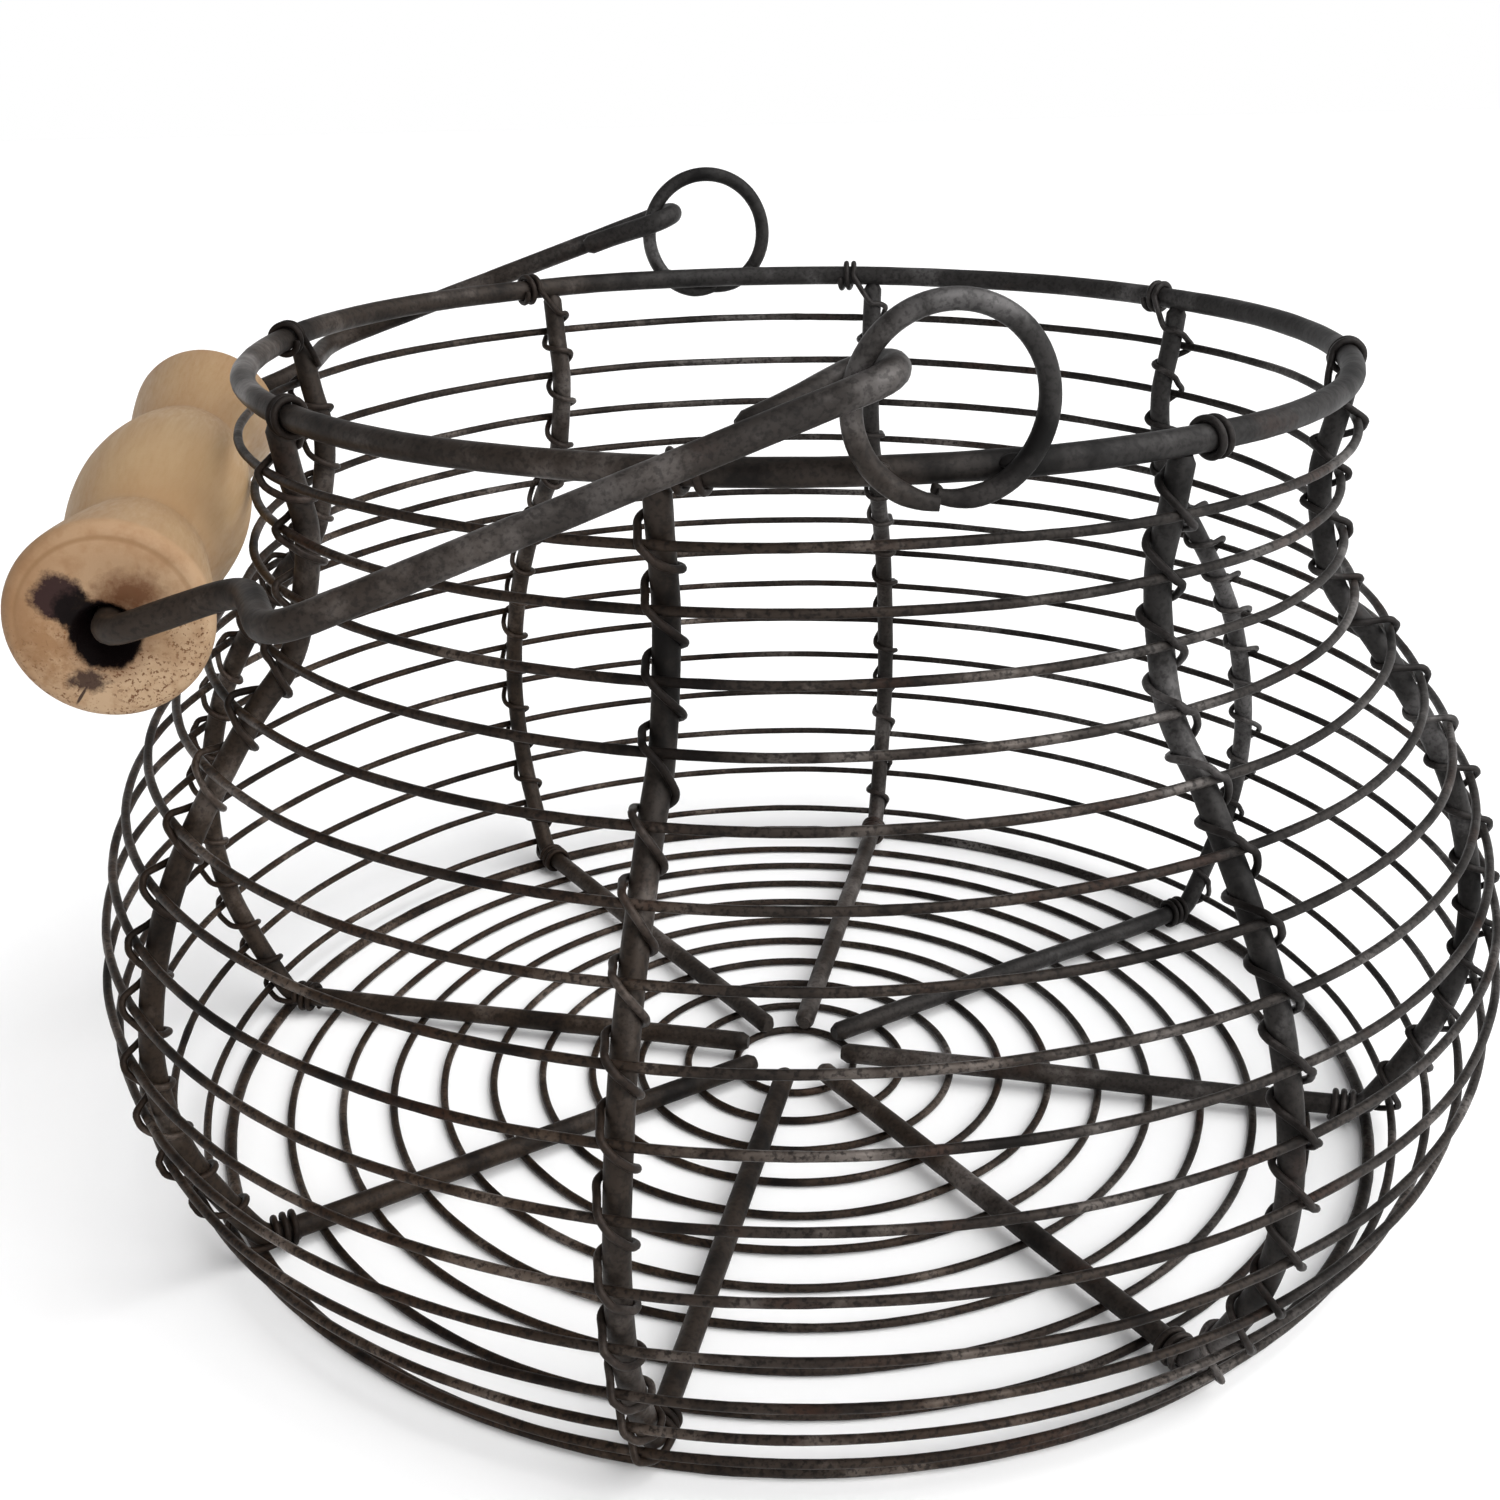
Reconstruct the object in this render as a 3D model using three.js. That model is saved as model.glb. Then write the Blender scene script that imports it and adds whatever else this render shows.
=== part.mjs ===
// Wire egg basket: hoops of thin wire bound to eight stout ribs, with a swinging wire bail
// that carries a turned wooden grip.
// Millimetres, +Z up. The origin is on the ground under the middle of the floor. The two ear
// rings stand on the Y axis, and the bail hangs down on the -X side.

import * as THREE from 'three';

// Wire diameters
const RIM_WIRE = 3.5;
const RIB_WIRE = 3.5;
const HOOP_WIRE = 1.3;
const BASE_WIRE = 1.9;
const LASH_WIRE = 1.0;
const EAR_WIRE = 2.6;
const BAIL_WIRE = 3.6;

// Room between two wires that lie on each other
const SEAT_GAP = 0.3;

// Outline of the wall: radius and height of the hoops' centre line, from mouth to foot
const MOUTH_RADIUS = 82.25;
const MOUTH_HEIGHT = 128.8;
const SWELL_RADIUS = 83.9;
const SWELL_HEIGHT = 120.6;
const NECK_RADIUS = 82.4;
const NECK_HEIGHT = 113.0;
const SHOULDER_RADIUS = 86.1;
const SHOULDER_HEIGHT = 96.0;
const SLOPE_TOP_RADIUS = 92.3;
const SLOPE_TOP_HEIGHT = 88.8;
const SLOPE_FOOT_RADIUS = 107.0;
const SLOPE_FOOT_HEIGHT = 65.4;
const BELLY_RADIUS = 113.0;
const BELLY_HEIGHT = 39.4;
const TUCK_RADIUS = 110.2;
const TUCK_HEIGHT = 21.5;
const FOOT_RADIUS = 102.2;
const FOOT_HEIGHT = 5.0;
const BASE_RADIUS = 99.0;

// Rows of hoops, counted down from the rim: the rows at the neck lie closer together
const NECK_ROWS = 4;
const NECK_PITCH = 8.43;
const WALL_ROWS = 15;

// Floor: hoops under the ribs, evenly spaced between the lashings' ends and the centre ring
const FLOOR_HOOPS = 9;
const FLOOR_CLEARANCE = 0.15;
const CENTRE_RING_RADIUS = 10.5;
const RIB_OVERRUN = 1.9;

const RIB_COUNT = 8;
const FOOT_BEND = 1.7;

// Lashing: one wire a rib, which crosses each hoop on the slant
const LASH_SLANT = 1.45;
const LASH_SLACK = 0.35;
const LASH_SIDE = 3.3;
const LASH_STEPS = 6;
const TIGHT_PITCH = 1.65;
const TIGHT_STEPS = 8;
const RIM_TURNS = 2;
const RIM_TURN_OFFSET = 3.4;
const FOOT_TURNS = 3;

// Ear rings: bent from stout wire, with the ends meeting under the rim, one in front
const EAR_RADIUS = 11.3;
const EAR_RISE = 7.9;
const EAR_START = -95;
const EAR_SWEEP = 352;
const EAR_LAP = 1.3;
const EAR_STEPS = 22;

// Bail, measured along its arms from the hook, and across from the middle of the basket
const HOOK_ANGLE = 33.2;
const HOOK_GAP = 0.75;
const HOOK_RETURN = 14;
const HOOK_CLOSE = 15;
const ELBOW_REACH = 67.2;
const ELBOW_SPREAD = 92.1;
const JOG_REACH = 71.2;
const JOG_SPREAD = 69.5;
const GRIP_REACH = 89.4;
const GRIP_CORNER_SPREAD = 65.8;
const ELBOW_BEND = 6;
const GRIP_BEND = 4.5;

// Wooden grip: three beads turned on one stick, a long barrel between two that swell to the ends
const GRIP_DIAMETER = 24.5;
const GRIP_LENGTH = 122;
const MIDDLE_BEAD = 60;
const GROOVE_DEPTH = 2.4;
const BEAD_CROWN = 1.8;
const SHOULDER = 2.2;
const GRIP_FACE_RADIUS = 10.4;
const BORE_CLEARANCE = 0.4;
const BORE_MOUTH_RADIUS = 3.9;
const BORE_MOUTH_DEPTH = 2.5;
const BEAD_SHARES = [0, 0.35, 0.6, 0.8, 1];

// Facets
const RING_SEGMENTS = 32;
const FLOOR_SEGMENTS = 24;
const SMALL_RING_SEGMENTS = 16;
const SMALL_RING_LIMIT = 50;
const HOOP_SIDES = 4;
const RING_SIDES = 8;
const RIB_SIDES = 6;
const LASH_SIDES = 4;
const BAIL_SIDES = 8;
const GRIP_SIDES = 20;

const rad = THREE.MathUtils.degToRad;

const wireMaterial = new THREE.MeshStandardMaterial({ color: 0x4b4440, roughness: 0.62, metalness: 0.55 });
const hoopMaterial = new THREE.MeshStandardMaterial({ color: 0x4e443a, roughness: 0.7, metalness: 0.5 });
const woodMaterial = new THREE.MeshStandardMaterial({ color: 0xcbaa82, roughness: 0.55, metalness: 0.0 });

const basket = new THREE.Group();

function addMesh(parent, name, geometry, material) {
  const mesh = new THREE.Mesh(geometry, material);
  mesh.name = name;
  parent.add(mesh);
  return mesh;
}

// A bent wire: it runs straight from point to point, and each section halves its bend
class WirePath extends THREE.Curve {
  constructor(points) {
    super();
    this.points = points;
  }

  getPoint(t, target = new THREE.Vector3()) {
    const place = t * (this.points.length - 1);
    const index = Math.min(Math.floor(place + 1e-9), this.points.length - 2);
    return target.lerpVectors(this.points[index], this.points[index + 1], place - index);
  }

  getPointAt(u, target) {
    return this.getPoint(u, target);
  }

  getTangentAt(u, target = new THREE.Vector3()) {
    const index = Math.round(u * (this.points.length - 1));
    const before = this.points[Math.max(index - 1, 0)];
    const here = this.points[index];
    const after = this.points[Math.min(index + 1, this.points.length - 1)];
    const incoming = here.clone().sub(before).normalize();
    const outgoing = after.clone().sub(here).normalize();
    return target.copy(incoming).add(outgoing).normalize();
  }
}

function sectionShape(radius, sides) {
  const corners = [];
  for (let i = 0; i < sides; i += 1) {
    const angle = (2 * Math.PI * (i + 0.5)) / sides;
    corners.push(new THREE.Vector2(radius * Math.cos(angle), radius * Math.sin(angle)));
  }
  return new THREE.Shape(corners);
}

function bentWire(points, diameter, sides) {
  return new THREE.ExtrudeGeometry(sectionShape(diameter / 2, sides), {
    steps: points.length - 1,
    extrudePath: new WirePath(points),
  });
}

// A round hoop about the Z axis. Its section has a flat side below, and its segments meet
// at azimuths counted from -Y towards +X.
function roundHoop(radius, height, diameter, sides, segments) {
  const profile = [];
  for (let i = 0; i <= sides; i += 1) {
    const angle = (2 * Math.PI * (i + 0.5)) / sides;
    const across = (diameter / 2) * Math.cos(angle);
    const up = (diameter / 2) * Math.sin(angle);
    profile.push(new THREE.Vector2(radius + across, height + up));
  }
  const geometry = new THREE.LatheGeometry(profile, segments);
  geometry.rotateX(Math.PI / 2);
  return geometry;
}

function flatHeight(diameter, sides) {
  return (diameter / 2) * Math.cos(Math.PI / sides);
}

// The wall's outline, in the XZ plane with X outwards
const outline = new THREE.CatmullRomCurve3(
  [
    new THREE.Vector3(MOUTH_RADIUS, 0, MOUTH_HEIGHT),
    new THREE.Vector3(SWELL_RADIUS, 0, SWELL_HEIGHT),
    new THREE.Vector3(NECK_RADIUS, 0, NECK_HEIGHT),
    new THREE.Vector3(SHOULDER_RADIUS, 0, SHOULDER_HEIGHT),
    new THREE.Vector3(SLOPE_TOP_RADIUS, 0, SLOPE_TOP_HEIGHT),
    new THREE.Vector3(SLOPE_FOOT_RADIUS, 0, SLOPE_FOOT_HEIGHT),
    new THREE.Vector3(BELLY_RADIUS, 0, BELLY_HEIGHT),
    new THREE.Vector3(TUCK_RADIUS, 0, TUCK_HEIGHT),
    new THREE.Vector3(FOOT_RADIUS, 0, FOOT_HEIGHT),
  ],
  false,
  'centripetal',
);

// Outward side of a path that runs down the wall and in across the floor
function outwardOf(tangent) {
  return new THREE.Vector3(-tangent.z, 0, tangent.x);
}

// Where each hoop lies: its centre line and the outward side of the wall there
const outlineLength = outline.getLength();
const neckDepth = NECK_PITCH * NECK_ROWS;
const wallPitch = (outlineLength - neckDepth) / (WALL_ROWS - NECK_ROWS);

function rowDepth(row) {
  return row <= NECK_ROWS ? row * NECK_PITCH : neckDepth + (row - NECK_ROWS) * wallPitch;
}

const rows = [];
for (let row = 1; row <= WALL_ROWS; row += 1) {
  const u = Math.min(rowDepth(row) / outlineLength, 1);
  rows.push({ centre: outline.getPointAt(u), outward: outwardOf(outline.getTangentAt(u)) });
}
const lastRow = rows[rows.length - 1];

// Rim, hoops and base ring
const baseHeight = flatHeight(BASE_WIRE, RING_SIDES);

addMesh(
  basket,
  'rim',
  roundHoop(MOUTH_RADIUS, MOUTH_HEIGHT, RIM_WIRE, RING_SIDES, RING_SEGMENTS),
  wireMaterial,
);

rows.forEach(({ centre }, index) => {
  const name = `hoop_${String(index + 1).padStart(2, '0')}`;
  addMesh(
    basket,
    name,
    roundHoop(centre.x, centre.z, HOOP_WIRE, HOOP_SIDES, RING_SEGMENTS),
    hoopMaterial,
  );
});

addMesh(
  basket,
  'base_ring',
  roundHoop(BASE_RADIUS, baseHeight, BASE_WIRE, RING_SIDES, RING_SEGMENTS),
  wireMaterial,
);

// A rib stands under the rim, lies inside the hoops, and turns in at the foot to run over the
// floor hoops. In its own plane X points outwards.
const floorHeight = FLOOR_CLEARANCE + HOOP_WIRE / 2;
const ribFloorHeight = floorHeight + (HOOP_WIRE + RIB_WIRE) / 2 + SEAT_GAP;
const ribInset = (HOOP_WIRE + RIB_WIRE) / 2 + SEAT_GAP;
const ribTop = new THREE.Vector3(MOUTH_RADIUS, 0, MOUTH_HEIGHT - (RIM_WIRE / 2 + SEAT_GAP));
const ribWall = rows.map(({ centre, outward }) => centre.clone().addScaledVector(outward, -ribInset));
const ribFoot = ribWall[ribWall.length - 1];
const footSlope = new THREE.Vector3(lastRow.outward.z, 0, -lastRow.outward.x);
const footDrop = (ribFoot.z - ribFloorHeight) / -footSlope.z;
const footCorner = ribFoot.clone().addScaledVector(footSlope, footDrop);
const bendStart = footCorner.clone().addScaledVector(footSlope, -FOOT_BEND);
const floorStart = new THREE.Vector3(footCorner.x - FOOT_BEND, 0, ribFloorHeight);
const footMiddle = new THREE.QuadraticBezierCurve3(bendStart, footCorner, floorStart).getPoint(0.5);
const floorNear = new THREE.Vector3(floorStart.x - footDrop, 0, ribFloorHeight);
const floorEnd = new THREE.Vector3(CENTRE_RING_RADIUS - RIB_OVERRUN, 0, ribFloorHeight);
const ribStations = [ribTop, ...ribWall, footMiddle, floorStart, floorNear, floorEnd];
const ribCurve = new THREE.CatmullRomCurve3(ribStations, false, 'centripetal');

function ribPoints() {
  const spans = ribStations.length - 1;
  const footStation = WALL_ROWS;
  const points = [];
  for (let station = 0; station <= spans; station += 1) {
    points.push(ribCurve.getPoint(station / spans));
    if (station >= footStation && station < footStation + 2) {
      points.push(ribCurve.getPoint((station + 0.5) / spans));
    }
  }
  return points;
}

// Length along the rib from its top to each row of hoops
const RIB_SAMPLES = 40;
ribCurve.arcLengthDivisions = (ribStations.length - 1) * RIB_SAMPLES;
const ribLengths = ribCurve.getLengths();
const ribLength = ribLengths[ribLengths.length - 1];

function ribDepth(row) {
  return ribLengths[row * RIB_SAMPLES];
}

// Lashing wire of one rib, in the rib's plane: two turns round the rim on the rib's right,
// down behind the rib's top, one slanting turn over each hoop, then tight turns on the floor run
const lashTight = (RIB_WIRE + LASH_WIRE) / 2 + SEAT_GAP;
const tightRadius = lashTight / Math.cos(Math.PI / TIGHT_STEPS);
const rimTurnRadius = ((RIM_WIRE + LASH_WIRE) / 2 + SEAT_GAP) / Math.cos(Math.PI / TIGHT_STEPS);
const lashFront = ribInset + (HOOP_WIRE + LASH_WIRE) / 2 + SEAT_GAP + LASH_SLACK;
const lashBack = -(lashTight + LASH_SLACK);
const lashMiddle = (lashFront + lashBack) / 2;
const lashHalf = (lashFront - lashBack) / 2;

function rimTurnPoints() {
  const points = [];
  const steps = RIM_TURNS * TIGHT_STEPS;
  for (let i = 0; i <= steps; i += 1) {
    const angle = Math.PI + (2 * Math.PI * (i - steps)) / TIGHT_STEPS;
    const along = RIM_TURN_OFFSET + (TIGHT_PITCH * (steps - i)) / TIGHT_STEPS;
    const reach = MOUTH_RADIUS + rimTurnRadius * Math.cos(angle);
    const azimuth = along / MOUTH_RADIUS;
    points.push(
      new THREE.Vector3(
        reach * Math.cos(azimuth),
        reach * Math.sin(azimuth),
        MOUTH_HEIGHT + rimTurnRadius * Math.sin(angle),
      ),
    );
  }
  return points;
}

// A point beside the rib: at a depth along it, so far outwards and so far to its right
function besideRib(depth, outwards, right) {
  const u = depth / ribLength;
  const point = ribCurve.getPointAt(u);
  point.addScaledVector(outwardOf(ribCurve.getTangentAt(u)), outwards);
  point.y = right;
  return point;
}

function wallTurnPoint(turn) {
  const row = Math.floor(turn);
  const next = Math.min(row + 1, WALL_ROWS);
  const level = THREE.MathUtils.lerp(ribDepth(row), ribDepth(next), turn - row);
  const angle = 2 * Math.PI * turn;
  const depth = level + LASH_SLANT * Math.sin(angle);
  return besideRib(depth, lashMiddle + lashHalf * Math.cos(angle), LASH_SIDE * Math.sin(angle));
}

// From the last hoop the wire slips in between that hoop and the base ring, and winds on
function footTurnPoints() {
  const base = new THREE.Vector3(BASE_RADIUS, 0, baseHeight);
  const hoopToBase = base.clone().sub(lastRow.centre);
  const between = (hoopToBase.length() + (HOOP_WIRE - BASE_WIRE) / 2) / 2;
  const under = lastRow.centre.clone().addScaledVector(hoopToBase.normalize(), between);
  under.y = LASH_SIDE * Math.sin(Math.PI / TIGHT_STEPS);
  const points = [under];
  const bendDepth = ribDepth(WALL_ROWS + 1);
  const floorDepth = ribDepth(WALL_ROWS + 2);
  for (let i = TIGHT_STEPS / 4; i <= FOOT_TURNS * TIGHT_STEPS; i += 1) {
    const turn = i / TIGHT_STEPS;
    const depth =
      turn < 1
        ? THREE.MathUtils.mapLinear(turn, 0.25, 1, bendDepth, floorDepth + TIGHT_PITCH)
        : floorDepth + TIGHT_PITCH * turn;
    const angle = 2 * Math.PI * turn;
    points.push(besideRib(depth, tightRadius * Math.cos(angle), tightRadius * Math.sin(angle)));
  }
  return points;
}

// Both ends of a wound wire run straight on for one diameter
function withStraightEnds(points) {
  const first = points[0].clone().sub(points[1]).setLength(LASH_WIRE).add(points[0]);
  const count = points.length;
  const last = points[count - 1].clone().sub(points[count - 2]).setLength(LASH_WIRE);
  return [first, ...points, last.add(points[count - 1])];
}

function lashPoints() {
  const points = rimTurnPoints();
  for (let i = 0; i <= (WALL_ROWS - 0.5) * LASH_STEPS; i += 1) {
    points.push(wallTurnPoint(0.5 + i / LASH_STEPS));
  }
  points.push(...footTurnPoints());
  return withStraightEnds(points);
}

// Least room between stretches of one wound wire that lie more than three diameters apart
function leastGap(points, diameter) {
  const samples = [];
  let travelled = 0;
  for (let i = 1; i < points.length; i += 1) {
    const span = points[i].distanceTo(points[i - 1]);
    const cuts = Math.ceil((span / diameter) * 4);
    for (let j = 0; j < cuts; j += 1) {
      const place = points[i - 1].clone().lerp(points[i], j / cuts);
      samples.push({ place, travelled: travelled + (span * j) / cuts });
    }
    travelled += span;
  }
  let least = Infinity;
  samples.forEach((a, index) => {
    for (let j = index + 1; j < samples.length; j += 1) {
      if (samples[j].travelled - a.travelled > 3 * diameter) {
        least = Math.min(least, a.place.distanceTo(samples[j].place));
      }
    }
  });
  return least - diameter;
}

const ribGeometry = bentWire(ribPoints(), RIB_WIRE, RIB_SIDES);
const lashWire = lashPoints();
const lashGeometry = bentWire(lashWire, LASH_WIRE, LASH_SIDES);
console.log(`lashing: least gap to itself ${leastGap(lashWire, LASH_WIRE).toFixed(2)} mm`);

// Floor hoops, under the ribs' floor run
function floorSegments(radius) {
  return radius > SMALL_RING_LIMIT ? FLOOR_SEGMENTS : SMALL_RING_SEGMENTS;
}

const lashingEnd = floorStart.x - TIGHT_PITCH * FOOT_TURNS;
const firstFloorRadius = lashingEnd - (LASH_WIRE + HOOP_WIRE) / 2 - TIGHT_PITCH;
const floorPitch = (firstFloorRadius - CENTRE_RING_RADIUS) / FLOOR_HOOPS;

for (let i = 0; i <= FLOOR_HOOPS; i += 1) {
  const radius = firstFloorRadius - i * floorPitch;
  addMesh(
    basket,
    i < FLOOR_HOOPS ? `floor_hoop_${i + 1}` : 'centre_ring',
    roundHoop(radius, floorHeight, HOOP_WIRE, HOOP_SIDES, floorSegments(radius)),
    hoopMaterial,
  );
}

// Ribs stand midway between the ear rings' azimuth and its quarters
for (let i = 0; i < RIB_COUNT; i += 1) {
  const bay = new THREE.Group();
  bay.rotation.z = rad((360 / RIB_COUNT) * (i + 0.5) - 90);
  addMesh(bay, `rib_${i + 1}`, ribGeometry, wireMaterial);
  addMesh(bay, `lashing_${i + 1}`, lashGeometry, hoopMaterial);
  basket.add(bay);
}

// Ear rings stand outside the rim, in a plane square to the Y axis. Looked at from outside, the
// ring starts under the rim on the right, runs over the top and ends in front of its own start.
const earHeight = MOUTH_HEIGHT + EAR_RISE;
const earCrossing = Math.sqrt(EAR_RADIUS ** 2 - EAR_RISE ** 2);
const rimAtCrossing = Math.sqrt(MOUTH_RADIUS ** 2 - earCrossing ** 2);
const earDistance = rimAtCrossing + (RIM_WIRE + EAR_WIRE) / 2 + SEAT_GAP;

function earPoints() {
  const points = [];
  for (let i = 0; i <= EAR_STEPS; i += 1) {
    const turn = i / EAR_STEPS;
    const angle = rad(EAR_START + EAR_SWEEP * turn);
    const lap = EAR_LAP * THREE.MathUtils.smoothstep(turn, 0.85, 1);
    points.push(new THREE.Vector3(EAR_RADIUS * Math.cos(angle), -lap, EAR_RADIUS * Math.sin(angle)));
  }
  return points;
}

const earGeometry = bentWire(earPoints(), EAR_WIRE, RIB_SIDES);
const earSides = [
  { name: 'ear_ring_front', turn: 0 },
  { name: 'ear_ring_back', turn: 180 },
];
earSides.forEach(({ name, turn }) => {
  const side = new THREE.Group();
  side.rotation.z = rad(turn);
  const ear = addMesh(side, name, earGeometry, wireMaterial);
  ear.position.set(0, -earDistance, earHeight);
  basket.add(side);
});

// Bail, flat in its own plane. Its group turns about the line through both ear rings: the arms
// run along -X, raised above that line because the hooks sit on the upper part of the rings.
const hookAlong = EAR_RADIUS * Math.cos(rad(HOOK_ANGLE));
const hookLift = EAR_RADIUS * Math.sin(rad(HOOK_ANGLE));
const hookBend = (EAR_WIRE + BAIL_WIRE) / 2 + HOOK_GAP;
const hookCentre = hookAlong - hookBend * (1 / Math.cos(rad(HOOK_ANGLE)) - 1);

function bailPlace(along, across) {
  return new THREE.Vector3(-along, across, hookLift);
}

// A corner of the wire: an arc, cut in from the corner by the length of its tangents
function corner(before, at, after, tangent, steps) {
  const start = at.clone().lerp(before, tangent / at.distanceTo(before));
  const end = at.clone().lerp(after, tangent / at.distanceTo(after));
  return new THREE.QuadraticBezierCurve3(start, at, end).getPoints(steps);
}

// A hook bends past its half turn, so that its short leg closes on the arm and makes an eye
const HOOK_STEPS = 8;

function halfBailPoints() {
  const close = rad(HOOK_CLOSE);
  const points = [];
  for (let i = 0; i <= HOOK_STEPS; i += 1) {
    const angle = THREE.MathUtils.lerp(-close, Math.PI, i / HOOK_STEPS);
    points.push(
      bailPlace(hookCentre - hookBend * Math.sin(angle), -(earDistance - hookBend * Math.cos(angle))),
    );
  }
  const tip = points[0].clone();
  tip.x -= HOOK_RETURN * Math.cos(close);
  tip.y -= HOOK_RETURN * Math.sin(close);
  points.unshift(tip);
  const hook = points[points.length - 1];
  const elbow = bailPlace(hookAlong + ELBOW_REACH, -ELBOW_SPREAD);
  const jog = bailPlace(hookAlong + JOG_REACH, -JOG_SPREAD);
  const gripCorner = bailPlace(hookAlong + GRIP_REACH, -GRIP_CORNER_SPREAD);
  const gripMiddle = bailPlace(hookAlong + GRIP_REACH, 0);
  points.push(...corner(hook, elbow, jog, ELBOW_BEND, 4));
  points.push(...corner(elbow, jog, gripCorner, ELBOW_BEND, 4));
  points.push(...corner(jog, gripCorner, gripMiddle, GRIP_BEND, 4));
  return points;
}

function bailPoints() {
  const half = halfBailPoints();
  const otherHalf = half.map((point) => new THREE.Vector3(point.x, -point.y, point.z)).reverse();
  return [...half, ...otherHalf];
}

// The bail hangs with the grip against the neck: it drops until the grip meets rim or hoops
const gripRadius = GRIP_DIAMETER / 2;
const gripAlong = hookAlong + GRIP_REACH;

function gripClearance(drop) {
  const reach = gripAlong * Math.cos(drop) + hookLift * Math.sin(drop);
  const height = earHeight - gripAlong * Math.sin(drop) + hookLift * Math.cos(drop);
  const rim = Math.hypot(reach - MOUTH_RADIUS, height - MOUTH_HEIGHT) - RIM_WIRE / 2;
  const hoops = rows.map(
    ({ centre }) => Math.hypot(reach - centre.x, height - centre.z) - HOOP_WIRE / 2,
  );
  return Math.min(rim, ...hoops) - gripRadius;
}

const DROP_STEP = rad(0.02);
let bailDrop = 0;
while (gripClearance(bailDrop + DROP_STEP) > SEAT_GAP && bailDrop < rad(80)) {
  bailDrop += DROP_STEP;
}

const bailGroup = new THREE.Group();
bailGroup.position.z = earHeight;
bailGroup.rotation.y = -bailDrop;
addMesh(bailGroup, 'bail', bentWire(bailPoints(), BAIL_WIRE, BAIL_SIDES), wireMaterial);
basket.add(bailGroup);

// Grip, turned about the Y axis with a bore for the bail
function beadRadius(share) {
  return gripRadius - GROOVE_DEPTH * share ** BEAD_CROWN;
}

function gripGeometry() {
  const end = GRIP_LENGTH / 2;
  const groove = MIDDLE_BEAD / 2;
  const widest = end - SHOULDER;
  const boreRadius = BAIL_WIRE / 2 + BORE_CLEARANCE;
  const middleBead = BEAD_SHARES.map((share) => new THREE.Vector2(beadRadius(share), groove * share));
  const endBead = BEAD_SHARES.map(
    (share) => new THREE.Vector2(beadRadius(share), THREE.MathUtils.lerp(widest, groove, share)),
  );
  const faceEdge = new THREE.Vector2(GRIP_FACE_RADIUS, end);
  const shoulder = new THREE.QuadraticBezierCurve(
    endBead[0],
    new THREE.Vector2(gripRadius, end),
    faceEdge,
  ).getPoint(0.5);
  const half = [...middleBead, ...endBead.reverse().slice(1), shoulder, faceEdge];
  half.push(new THREE.Vector2(BORE_MOUTH_RADIUS, end), new THREE.Vector2(boreRadius, end - BORE_MOUTH_DEPTH));
  const otherHalf = half.slice(1).map(({ x, y }) => new THREE.Vector2(x, -y)).reverse();
  return new THREE.LatheGeometry([...otherHalf, ...half, otherHalf[0]], GRIP_SIDES);
}

const grip = addMesh(bailGroup, 'grip', gripGeometry(), woodMaterial);
grip.position.set(-gripAlong, 0, hookLift);

export default basket;
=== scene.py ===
import math
import random

import bmesh
import bpy
from mathutils import Matrix, Vector
from mathutils.geometry import interpolate_bezier


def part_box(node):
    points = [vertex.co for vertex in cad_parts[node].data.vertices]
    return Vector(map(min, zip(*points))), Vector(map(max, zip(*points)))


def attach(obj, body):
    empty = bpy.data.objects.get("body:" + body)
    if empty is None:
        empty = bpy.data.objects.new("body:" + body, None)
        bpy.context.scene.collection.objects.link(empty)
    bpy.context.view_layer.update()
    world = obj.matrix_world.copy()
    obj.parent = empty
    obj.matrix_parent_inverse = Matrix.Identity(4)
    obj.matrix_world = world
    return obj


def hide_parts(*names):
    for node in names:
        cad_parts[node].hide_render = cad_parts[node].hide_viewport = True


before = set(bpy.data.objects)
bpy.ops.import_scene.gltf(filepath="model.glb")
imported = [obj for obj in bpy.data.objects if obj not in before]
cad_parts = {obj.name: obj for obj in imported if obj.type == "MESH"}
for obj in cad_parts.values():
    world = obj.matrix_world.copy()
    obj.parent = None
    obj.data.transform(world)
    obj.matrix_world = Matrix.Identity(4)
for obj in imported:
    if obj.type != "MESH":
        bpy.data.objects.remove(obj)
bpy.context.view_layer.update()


# Camera. It looks slightly down into the basket from in front and from a little to the left,
# with the grip side nearest on the left. Lengths in this script are metres.
CAMERA_PLACE = Vector((-0.05595, -0.27256, 0.17571))
CAMERA_AIM = Vector((0.16163, 0.91106, -0.37926))
CAMERA_ROLL = math.radians(-0.67)
FOCAL_LENGTH = 42.83
SENSOR_WIDTH = 36.0

camera_data = bpy.data.cameras.new("camera")
camera_data.lens = FOCAL_LENGTH
camera_data.sensor_width = SENSOR_WIDTH
camera_data.clip_start = 0.01
camera = bpy.data.objects.new("camera", camera_data)
camera_turn = CAMERA_AIM.to_track_quat("-Z", "Y").to_matrix() @ Matrix.Rotation(CAMERA_ROLL, 3, "Z")
camera.matrix_world = Matrix.Translation(CAMERA_PLACE) @ camera_turn.to_4x4()
bpy.context.collection.objects.link(camera)
bpy.context.scene.camera = camera


# Studio. A white table top runs on to pale walls under a dimmer ceiling. One broad soft lamp far
# off on the right lights table and basket evenly, and a wide disk lamp in front fills the shade.
TABLE_SIZE = 6.0
TABLE_CELLS = 8
TABLE_ROUGHNESS = 0.9
TABLE_CLOUD_SCALE = 3.0
TABLE_COLOUR = (0.94, 0.94, 0.94, 1)
TABLE_SHADE = (0.96, 0.96, 0.955, 1)
WALL_COLOUR = (1.0, 1.0, 1.0, 1)
CEILING_COLOUR = (0.30, 0.30, 0.31, 1)
WALL_TOP = 0.12
CEILING_FROM = 0.5
KEY_PLACE = Vector((0.62, -0.42, 0.85))
KEY_STRENGTH = 4.2
KEY_SPREAD = math.radians(75)
FILL_PLACE = Vector((0.35, -0.75, 0.45))
FILL_POWER = 1.5
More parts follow.
